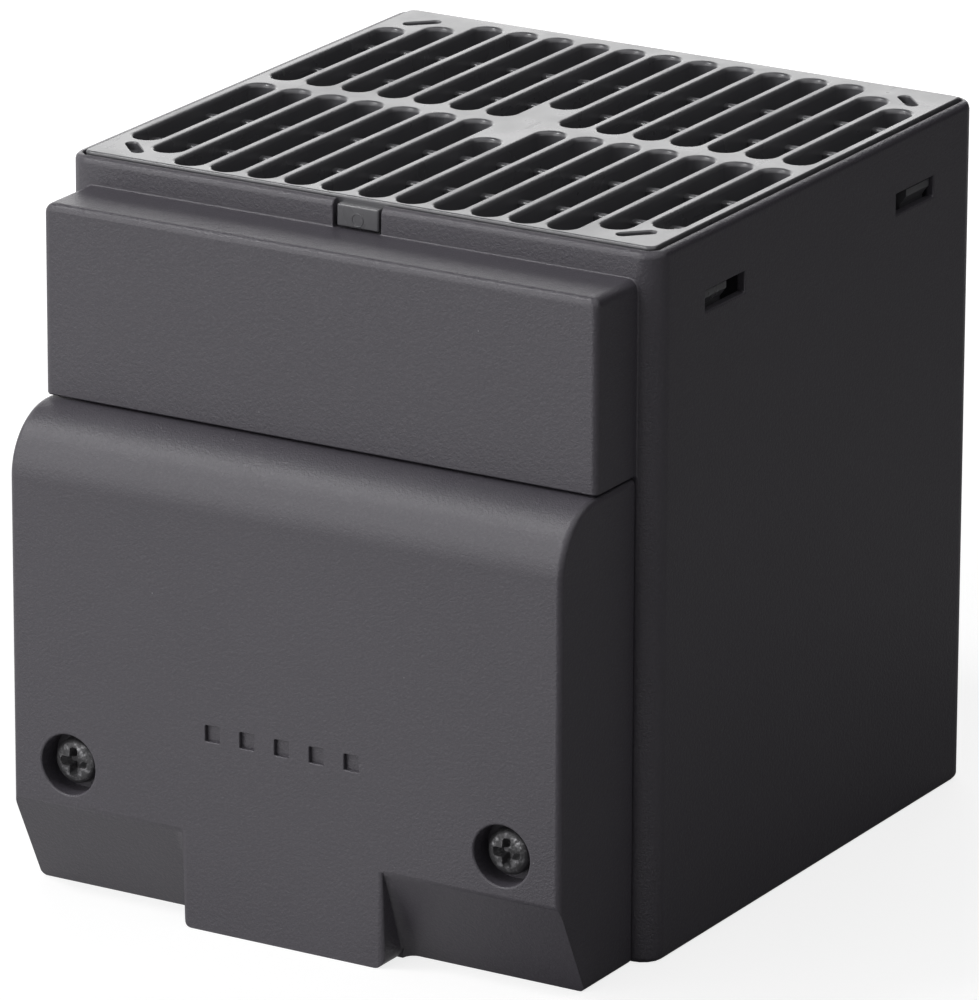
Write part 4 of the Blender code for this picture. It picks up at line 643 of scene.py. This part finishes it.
def head_top(node, way):
    """The middle of a screw head's top, and the screw's whole length, from its node's box."""
    low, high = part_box(node)
    middle = (low + high) / 2
    out = (FACING[way] @ Vector((0, 0, 1))).to_3d()
    half = abs((high - low).dot(out)) / 2
    return middle + out * half, 2 * half


def wear(piece, size, seed):
    """Rounds and roughens the metal around the recess, where a screwdriver has slipped."""
    head, height, _, span = size
    for vertex in piece.data.vertices:
        x, y, z = vertex.co
        near = 1 - min(1, abs(math.hypot(x, y) - span / 2) / (span / 2))
        if z > -height * 0.8 and math.hypot(x, y) < head * 0.8:
            rough = noise.noise(vertex.co / WORN_GRAIN + Vector((seed, 0, 0)))
            vertex.co.z -= WORN_DEPTH * (0.4 + rough) * near
            vertex.co.x += WORN_DEPTH * 0.7 * rough * near
            vertex.co.y -= WORN_DEPTH * 0.7 * rough * near


def make_screw(node, size, way, finish, seed=0):
    """A pan-head screw with a cross recess, in the place and length of its CAD node."""
    head, height, shank, span = size
    top, length = head_top(node, way)
    tip = -length
    profile = [(0, tip), (shank * TIP_TAPER, tip), (shank, tip + shank), (shank, -height)]
    profile += [(head * r, height * (z - 1)) for r, z in HEAD_PROFILE] + [(0, 0)]
    shape = bmesh.new()
    turned(shape, profile, SCREW_STEPS)
    screw = as_object(f"{node}_fine", shape)

    shape = bmesh.new()
    width, deep = span * RECESS_WIDTH_SHARE, height * RECESS_DEPTH_SHARE
    mouth = 0.12 * MM
    levels = [(cross(span * RECESS_TAPER, width * RECESS_TAPER), -deep), (cross(span, width), -mouth)]
    levels += [(cross(span + mouth, width + mouth), 0), (cross(span + mouth, width + mouth), OVERCUT)]
    loft(shape, levels)
    combine(screw, "DIFFERENCE", as_object("recess", shape))
    if seed:
        shape = bmesh.new()
        shape.from_mesh(screw.data)
        bmesh.ops.triangulate(shape, faces=shape.faces[:])
        upper = {v for v in shape.verts if v.co.z > -height * 0.8 and v.co.xy.length < head}
        near = [edge for edge in shape.edges if upper.issuperset(edge.verts)]
        bmesh.ops.subdivide_edges(shape, edges=near, cuts=2, use_grid_fill=True)
        shape.to_mesh(screw.data)
        shape.free()
        wear(screw, size, seed)
    screw.data.transform(Matrix.Translation(top) @ FACING[way])
    smoothed(screw, 50)
    settle(screw, node, finish)


# Finishes


class Socket:
    """An output of a shader node. Arithmetic on it adds the Math nodes that do it."""

    def __init__(self, finish, output):
        self.finish = finish
        self.output = output

    def __add__(self, other):
        return self.finish.calculate("ADD", self, other)

    def __radd__(self, other):
        return self.finish.calculate("ADD", other, self)

    def __sub__(self, other):
        return self.finish.calculate("SUBTRACT", self, other)

    def __rsub__(self, other):
        return self.finish.calculate("SUBTRACT", other, self)

    def __mul__(self, other):
        return self.finish.calculate("MULTIPLY", self, other)

    def __rmul__(self, other):
        return self.finish.calculate("MULTIPLY", other, self)

    def __truediv__(self, other):
        return self.finish.calculate("DIVIDE", self, other)

    def __rtruediv__(self, other):
        return self.finish.calculate("DIVIDE", other, self)

    def __pow__(self, other):
        return self.finish.calculate("POWER", self, other)


class Finish:
    """One material: its Principled shader, with the numbers that are the same all over, and its nodes."""

    def __init__(self, name, constants=None):
        self.material = bpy.data.materials.new(name)
        self.material.use_nodes = True
        self.tree = self.material.node_tree
        self.shader = self.tree.nodes["Principled BSDF"]
        for title, value in (constants or {}).items():
            self.feed(self.shader.inputs[title], value)
        self.place = self.node("ShaderNodeTexCoord", output="Object")

    def feed(self, entry, value):
        """Links a socket to the entry, or writes a number or colour in it."""
        if isinstance(value, Socket):
            self.tree.links.new(value.output, entry)
        elif entry.type == "RGBA":
            entry.default_value = (*value, 1)
        else:
            entry.default_value = value

    def node(self, kind, settings=None, inputs=None, output=0):
        """Adds any node, with its settings made first and then its inputs fed."""
        made = self.tree.nodes.new(kind)
        for title, value in (settings or {}).items():
            setattr(made, title, value)
        for title, value in (inputs or {}).items():
            self.feed(made.inputs[title], value)
        return Socket(self, made.outputs[output])

    def calculate(self, operation, *values):
        return self.node("ShaderNodeMath", {"operation": operation}, dict(enumerate(values)))

    def shown(self, **values):
        """Feeds what varies over the surface to the shader."""
        for title, value in values.items():
            self.feed(self.shader.inputs[title.replace("_", " ").title()], value)
        return self.material

    def mixed(self, share, first, second):
        """A colour between two, by the share of the second."""
        inputs = {0: share, 6: first, 7: second}
        return self.node("ShaderNodeMix", {"data_type": "RGBA"}, inputs, 2)

    def stretched(self, x=1.0, y=1.0, z=1.0):
        """The place on the piece, scaled along each axis."""
        return self.node("ShaderNodeVectorMath", {"operation": "MULTIPLY"}, {0: self.place, 1: (x, y, z)})

    def grain(self, size, detail=2.0, place=None, rough=0.5):
        """Noise from 0 to 1 whose spots are about this wide."""
        inputs = {"Vector": place or self.place, "Scale": 0.5 / size, "Detail": detail, "Roughness": rough}
        return self.node("ShaderNodeTexNoise", {}, inputs)

    def cells(self, size, output="Distance", feature="F1", place=None):
        """A pattern of cells about this wide."""
        inputs = {"Vector": place or self.place, "Scale": 1 / size}
        return self.node("ShaderNodeTexVoronoi", {"feature": feature}, inputs, output)

    def between(self, value, low, high, first=0.0, second=1.0):
        """A soft step from the first value at low to the second at high."""
        inputs = {"Value": value, "From Min": low, "From Max": high, "To Min": first, "To Max": second}
        return self.node("ShaderNodeMapRange", {"interpolation_type": "SMOOTHSTEP"}, inputs)

    def specks(self, spacing, size, share):
        """Small round specks, one in so many cells of this spacing."""
        spot = self.between(self.cells(spacing), size / spacing, 0.6 * size / spacing)
        chosen = self.cells(spacing, "Color")
        picked = self.node("ShaderNodeSeparateColor", {}, {"Color": chosen})
        return spot * self.between(picked, 1 - share, 1 - share + 0.01)

    def bumped(self, height, depth, normal=None):
        """A normal that follows the height, from 0 to 1, over this depth in metres."""
        inputs = {"Strength": 1.0, "Distance": depth, "Height": height}
        if normal:
            inputs["Normal"] = normal
        return self.node("ShaderNodeBump", {}, inputs)


def matte_black_plastic():
    """Spark-eroded black moulding: fine even grain, with a little pale dust."""
    finish = Finish("matte_black_plastic", {"Specular IOR Level": 0.45})
    coarse, fine = finish.grain(0.2 * MM, 3, rough=0.65), finish.grain(0.08 * MM, 2)
    tone = finish.grain(14 * MM, 3)
    dust = finish.specks(2.6 * MM, 0.09 * MM, 0.3)
    colour = finish.mixed(tone, (0.066, 0.061, 0.073), (0.079, 0.073, 0.087))
    colour = finish.mixed(finish.between(coarse, 0.45, 0.7, 0, 0.3), colour, (0.115, 0.108, 0.123))
    colour = finish.mixed(dust * 0.8, colour, (0.42, 0.42, 0.44))
    relief = coarse * 0.7 + fine * 0.3
    normal = finish.bumped(relief, 0.11 * MM)
    roughness = 0.31 + 0.14 * fine
    return finish.shown(base_color=colour, roughness=roughness, normal=normal)


def smooth_black_plastic():
    """Smooth satin moulding with faint smudges, hairline scratches and dust."""
    finish = Finish("smooth_black_plastic", {"Specular IOR Level": 0.55})
    smudge = finish.grain(7 * MM, 4, rough=0.6)
    hair = finish.grain(0.25 * MM, 2, finish.stretched(1, 0.06, 1))
    scratch = finish.between(hair, 0.68, 0.74)
    dust = finish.specks(3.1 * MM, 0.08 * MM, 0.3)
    ripple = finish.grain(1.1 * MM, 2)
    colour = finish.mixed(smudge, (0.1, 0.099, 0.106), (0.125, 0.124, 0.133))
    colour = finish.mixed(dust * 0.7, colour, (0.5, 0.5, 0.52))
    roughness = finish.between(smudge, 0.3, 0.7, 0.24, 0.36) + 0.1 * scratch
    normal = finish.bumped(ripple * 0.8 + scratch * 0.2, 0.012 * MM)
    return finish.shown(base_color=colour, roughness=roughness, normal=normal)


def fan_plastic():
    """Black fan moulding with soft flow lines."""
    finish = Finish("fan_plastic")
    flow = finish.grain(4 * MM, 3, finish.stretched(1, 1, 0.3))
    fine = finish.grain(0.2 * MM, 2)
    colour = finish.mixed(flow, (0.016, 0.016, 0.017), (0.028, 0.028, 0.03))
    roughness = 0.36 + 0.16 * flow
    return finish.shown(base_color=colour, roughness=roughness, normal=finish.bumped(fine, 0.01 * MM))


def light_moulding():
    """Pale heat-proof moulding with faint mottling."""
    finish = Finish("light_moulding")
    mottled = finish.grain(2.5 * MM, 4)
    fine = finish.grain(0.18 * MM, 2)
    colour = finish.mixed(mottled, (0.46, 0.44, 0.38), (0.56, 0.54, 0.47))
    colour = finish.mixed(finish.specks(1.4 * MM, 0.06 * MM, 0.2) * 0.5, colour, (0.25, 0.2, 0.14))
    roughness = 0.44 + 0.16 * fine
    return finish.shown(base_color=colour, roughness=roughness, normal=finish.bumped(fine, 0.012 * MM))


def carrier_plastic():
    """Glass-filled grey moulding, with its short fibres showing."""
    finish = Finish("carrier_plastic")
    fibres = finish.grain(0.35 * MM, 2, finish.stretched(0.15, 1, 1))
    crossing = finish.grain(0.35 * MM, 2, finish.stretched(1, 0.2, 0.2))
    flecks = finish.between(fibres, 0.6, 0.72) + finish.between(crossing, 0.64, 0.74)
    colour = finish.mixed(finish.grain(6 * MM, 3), (0.085, 0.085, 0.088), (0.115, 0.115, 0.118))
    colour = finish.mixed(flecks * 0.35, colour, (0.22, 0.22, 0.22))
    roughness = 0.5 + 0.1 * fibres
    return finish.shown(base_color=colour, roughness=roughness, normal=finish.bumped(fibres, 0.02 * MM))


def rolled_metal(name, dark, light, roughness, along=(0.08, 1, 1), dulling=0.12):
    """Sheet or drawn metal, with fine lines along one axis and cloudy patches."""
    finish = Finish(name, {"Metallic": 1.0})
    lines = finish.grain(0.12 * MM, 2, finish.stretched(*along))
    cloud = finish.grain(3 * MM, 4)
    colour = finish.mixed(cloud, dark, light)
    worn = roughness + dulling * cloud + 0.08 * lines
    return finish.shown(base_color=colour, roughness=worn, normal=finish.bumped(lines, 0.006 * MM))


def dark_steel():
    """Blackened steel, rubbed to grey on its high places."""
    finish = Finish("dark_steel")
    rubbed = finish.grain(0.5 * MM, 4, rough=0.65)
    bare = finish.between(rubbed, 0.48, 0.66)
    scuffs = finish.grain(0.16 * MM, 3)
    bright = finish.between(scuffs, 0.6, 0.72) * 0.5
    colour = finish.mixed(bare, (0.05, 0.049, 0.052), (0.17, 0.168, 0.175))
    colour = finish.mixed(bright * bare, colour, (0.5, 0.5, 0.51))
    roughness = 0.5 - 0.14 * bare
    normal = finish.bumped(rubbed * 0.6 + scuffs * 0.4, 0.035 * MM)
    return finish.shown(base_color=colour, metallic=0.35 + 0.5 * bare, roughness=roughness, normal=normal)


def bronze():
    """Sintered bronze with open pores."""
    finish = Finish("bronze", {"Metallic": 1.0})
    pores = finish.between(finish.cells(0.16 * MM), 0.12, 0.3)
    colour = finish.mixed(pores, (0.16, 0.1, 0.05), (0.56, 0.39, 0.21))
    roughness = 0.62 - 0.22 * pores
    return finish.shown(base_color=colour, roughness=roughness, normal=finish.bumped(pores, 0.02 * MM))


def magnet():
    """Pressed ferrite with a dull crumbly grain."""
    finish = Finish("magnet", {"Metallic": 0.2})
    crumbs = finish.grain(0.14 * MM, 4, rough=0.7)
    colour = finish.mixed(crumbs, (0.05, 0.05, 0.052), (0.11, 0.11, 0.112))
    roughness = 0.5 + 0.2 * crumbs
    return finish.shown(base_color=colour, roughness=roughness, normal=finish.bumped(crumbs, 0.03 * MM))


def circuit_board():
    """Green board: a faint glass weave under glossy lacquer."""
    finish = Finish("circuit_board", {"Coat Weight": 0.4, "Coat Roughness": 0.1})
    threads = {"Vector": finish.place, "Scale": 600.0}
    warp = finish.node("ShaderNodeTexWave", {"bands_direction": "X"}, threads)
    weft = finish.node("ShaderNodeTexWave", {"bands_direction": "Y"}, threads)
    weave = warp * weft
    colour = finish.mixed(weave * 0.5, (0.018, 0.12, 0.045), (0.04, 0.2, 0.08))
    roughness = 0.3 + 0.15 * finish.grain(2 * MM, 2)
    return finish.shown(base_color=colour, roughness=roughness, normal=finish.bumped(weave, 0.006 * MM))


FINISHES = {
    "matte_black_plastic": matte_black_plastic(),
    "smooth_black_plastic": smooth_black_plastic(),
    "fan_plastic": fan_plastic(),
    "light_moulding": light_moulding(),
    "carrier_plastic": carrier_plastic(),
    "aluminium": rolled_metal("aluminium", (0.66, 0.67, 0.68), (0.8, 0.8, 0.81), 0.26, (1, 1, 0.08)),
    "element_casing": rolled_metal("element_casing", (0.5, 0.5, 0.51), (0.66, 0.66, 0.66), 0.34),
    "zinc_steel": rolled_metal("zinc_steel", (0.5, 0.51, 0.54), (0.68, 0.67, 0.62), 0.26, (1, 1, 1), 0.2),
    "dark_steel": dark_steel(),
    "brass": rolled_metal("brass", (0.6, 0.44, 0.18), (0.8, 0.64, 0.34), 0.26),
    "bronze": bronze(),
    "magnet": magnet(),
    "circuit_board": circuit_board(),
}

# The finish of each node that keeps the CAD form, and how far its edges are rounded in mm
DRESSED = {
    "housing": ("matte_black_plastic", 0.2),
    "fan_frame": ("fan_plastic", 0.15),
    "fan_rotor": ("fan_plastic", 0.1),
    "rotor_magnet": ("magnet", 0.1),
    "fan_shaft": ("zinc_steel", 0.1),
    "fan_bearing": ("bronze", 0.1),
    "fan_board": ("circuit_board", 0.05),
    "fan_stator": ("zinc_steel", 0.05),
    "heater_carrier": ("carrier_plastic", 0.15),
    "fin_pack_front": ("aluminium", 0),
    "fin_pack_middle": ("aluminium", 0),
    "fin_pack_rear": ("aluminium", 0),
    "ceramic_element_front": ("element_casing", 0.1),
    "ceramic_element_rear": ("element_casing", 0.1),
    "core_cap_left": ("light_moulding", 0.15),
    "core_cap_right": ("light_moulding", 0.15),
    "core_strap_left": ("zinc_steel", 0.12),
    "core_strap_right": ("zinc_steel", 0.12),
    "thermal_cutout": ("fan_plastic", 0.2),
    "terminal_block": ("light_moulding", 0.15),
    "terminal_cage_live": ("brass", 0.08),
    "terminal_cage_neutral": ("brass", 0.08),
    "terminal_cage_earth": ("brass", 0.08),
    "strain_relief_bar": ("light_moulding", 0.2),
    "rail_clip": ("carrier_plastic", 0.2),
}

# Each group of screws, with its size, the way its heads face and its finish
SCREWS = (
    (("cover_screw_left", "cover_screw_right"), COVER_SCREW, "front", "dark_steel"),
    (("strain_relief_screw_left", "strain_relief_screw_right"), SMALL_SCREW, "front", "zinc_steel"),
    (("block_screw_left", "block_screw_right"), SMALL_SCREW, "front", "zinc_steel"),
    (("clip_screw_left", "clip_screw_right"), MIDDLE_SCREW, "back", "zinc_steel"),
    (("terminal_screw_live", "terminal_screw_neutral"), MIDDLE_SCREW, "front", "zinc_steel"),
    (("terminal_screw_earth",), MIDDLE_SCREW, "front", "zinc_steel"),
    (tuple(f"fan_screw_{number}" for number in range(1, 5)), MIDDLE_SCREW, "down", "zinc_steel"),
    (tuple(f"carrier_screw_{number}" for number in range(1, 5)), MIDDLE_SCREW, "up", "zinc_steel"),
)


# Studio: what aims at the object, each with its direction from there, its distance and its size

AIM = Vector((0, 0, HEIGHT / 2))
SOFTBOXES = (
    ("key_softbox", (-0.42, -0.85, 0.36), 1.2, (1.1, 0.95), 0.51),
    ("fill_softbox", (0.5, -0.85, 0.1), 1.3, (0.8, 0.7), 0.02),
    ("top_softbox", (0.45, 0.05, 1), 1.2, (1.1, 1.1), 0.15),
    ("crown_softbox", (-0.485, -0.3, 0.82), 1.2, (0.25, 0.2), 0.34),
    ("rear_softbox", (-0.485, 0.817, 0.36), 1.35, (1.1, 0.8), 0.24),
)
CARDS = (
    ("right_card", (0.55, 0.8, 0.28), 0.56, (1, 0.7)),
    ("upper_card", (-0.485, 0.32, 0.82), 1, (0.75, 0.75)),
)
CAMERA_PLACE = (0.5636, -0.9527, 0.4069)
CAMERA_TURNS = (30.729, 18.195, 0.192)
CAMERA_LENS = 336.85
AMBIENT = 0.05
FLOOR_COLOUR = (0.3, 0.3, 0.3)
FLOOR_GLOW_NEAR = 0.8
FLOOR_GLOW_REACH = (0.1, 0.32)
FLOOR_MIRRORED = 0.86
FLOOR_MIRRORED_LEFT_OF = (0, 0.04)
FLOOR_SHADE = 0.68
FLOOR_SHADE_BEHIND = (-0.085, -0.058)


def softbox(name, direction, distance, size, level):
    """A rectangular lamp aimed at the object. A white card that faces it renders at this level."""
    lamp = bpy.data.lights.new(name, "AREA")
    lamp.shape = "RECTANGLE"
    lamp.size, lamp.size_y = size
    lamp.energy = level * (math.pi * distance) ** 2
    holder = bpy.data.objects.new(name, lamp)
    bpy.context.scene.collection.objects.link(holder)
    towards = Vector(direction).normalized()
    holder.location = AIM + towards * distance
    holder.rotation_mode = "QUATERNION"
    holder.rotation_quaternion = towards.to_track_quat("Z", "Y")
    holder.visible_camera = False


def black_card(name, direction, distance, size):
    """A card for reflections alone, aimed at the object: it keeps what shows it dark."""
    shape = bmesh.new()
    bmesh.ops.create_grid(shape, x_segments=1, y_segments=1, size=0.5)
    card = as_object(name, shape)
    towards = Vector(direction).normalized()
    card.scale = (*size, 1)
    card.location = AIM + towards * distance
    card.rotation_mode = "QUATERNION"
    card.rotation_quaternion = towards.to_track_quat("Z", "Y")
    card.data.materials.append(Finish(name, {"Base Color": (0, 0, 0), "Roughness": 1.0}).material)
    card.visible_camera = card.visible_shadow = card.visible_diffuse = False


def make_world():
    world = bpy.data.worlds.new("studio")
    bpy.context.scene.world = world
    world.use_nodes = True
    tree = world.node_tree
    ground = tree.nodes["Background"]
    ray = tree.nodes.new("ShaderNodeLightPath")
    seen = ray.outputs["Is Camera Ray"]
    for kind in ("Is Glossy Ray", "Is Transmission Ray"):
        either = tree.nodes.new("ShaderNodeMath")
        either.operation = "MAXIMUM"
        tree.links.new(seen, either.inputs[0])
        tree.links.new(ray.outputs[kind], either.inputs[1])
        seen = either.outputs[0]
    white = tree.nodes.new("ShaderNodeBackground")
    white.inputs["Color"].default_value = (1, 1, 1, 1)
    ground.inputs["Color"].default_value = (1, 1, 1, 1)
    ground.inputs["Strength"].default_value = AMBIENT
    pick = tree.nodes.new("ShaderNodeMixShader")
    tree.links.new(seen, pick.inputs[0])
    tree.links.new(ground.outputs[0], pick.inputs[1])
    tree.links.new(white.outputs[0], pick.inputs[2])
    tree.links.new(pick.outputs[0], tree.nodes["World Output"].inputs["Surface"])


def make_floor():
    """A pale floor that looks white and keeps the object's shadow.

    Reflections see it dark on the right, and darker near the object.
    """
    finish = Finish("floor", {"Base Color": FLOOR_COLOUR, "Roughness": 0.9, "Emission Strength": 1.0})
    away = finish.node("ShaderNodeVectorMath", {"operation": "LENGTH"}, {0: finish.place}, "Value")
    place = {"Vector": finish.place}
    across, depth = (finish.node("ShaderNodeSeparateXYZ", {}, place, axis) for axis in "XY")
    kinds = ("Is Camera Ray", "Is Glossy Ray", "Is Transmission Ray")
    camera, glossy, through = (finish.node("ShaderNodeLightPath", output=kind) for kind in kinds)
    glow = finish.between(away, *FLOOR_GLOW_REACH, FLOOR_GLOW_NEAR, 1.0)
    lit = finish.between(across, *FLOOR_MIRRORED_LEFT_OF, FLOOR_MIRRORED, 0.0)
    mirrored = lit * finish.between(depth, *FLOOR_SHADE_BEHIND, 1.0, FLOOR_SHADE)
    seen = glow * camera + mirrored * (glossy + through)
    finish.shown(emission_color=finish.mixed(seen, (0, 0, 0), (1, 1, 1)))
    shape = bmesh.new()
    bmesh.ops.create_grid(shape, x_segments=1, y_segments=1, size=5)
    floor = as_object("floor", shape)
    floor.data.materials.append(finish.material)


def make_camera():
    """The camera of the photograph, turned by its small roll."""
    azimuth, elevation, roll = (math.radians(angle) for angle in CAMERA_TURNS)
    flat = math.cos(elevation)
    back = Vector((math.sin(azimuth) * flat, -math.cos(azimuth) * flat, math.sin(elevation)))
    right = Vector((0, 0, 1)).cross(back).normalized()
    up = back.cross(right)
    rolled = right * math.cos(roll) + up * math.sin(roll)
    upright = up * math.cos(roll) - right * math.sin(roll)
    placed = Matrix((rolled, upright, back)).transposed().to_4x4()
    placed.translation = CAMERA_PLACE
    lens = bpy.data.cameras.new("camera")
    lens.sensor_width = 36
    lens.sensor_fit = "HORIZONTAL"
    lens.lens = CAMERA_LENS
    lens.clip_start, lens.clip_end = 0.05, 20
    camera = bpy.data.objects.new("camera", lens)
    bpy.context.scene.collection.objects.link(camera)
    camera.matrix_world = placed
    bpy.context.scene.camera = camera


def make_pieces():
    make_outlet_grille()
    make_inlet_guard()
    make_terminal_cover()
    for node, (finish, edge) in DRESSED.items():
        if edge:
            dress(node, finish, edge * MM)
            continue
        carried = frame["nodes"][node]
        carried.data.materials.clear()
        carried.data.materials.append(FINISHES[finish])
    for nodes, size, way, finish in SCREWS:
        worn = size is COVER_SCREW
        for number, node in enumerate(nodes, 1):
            make_screw(node, size, way, finish, number if worn else 0)


bpy.context.scene.view_settings.view_transform = "Standard"
make_camera()
for softbox_values in SOFTBOXES:
    softbox(*softbox_values)
make_world()
make_floor()
for card_values in CARDS:
    black_card(*card_values)
make_pieces()
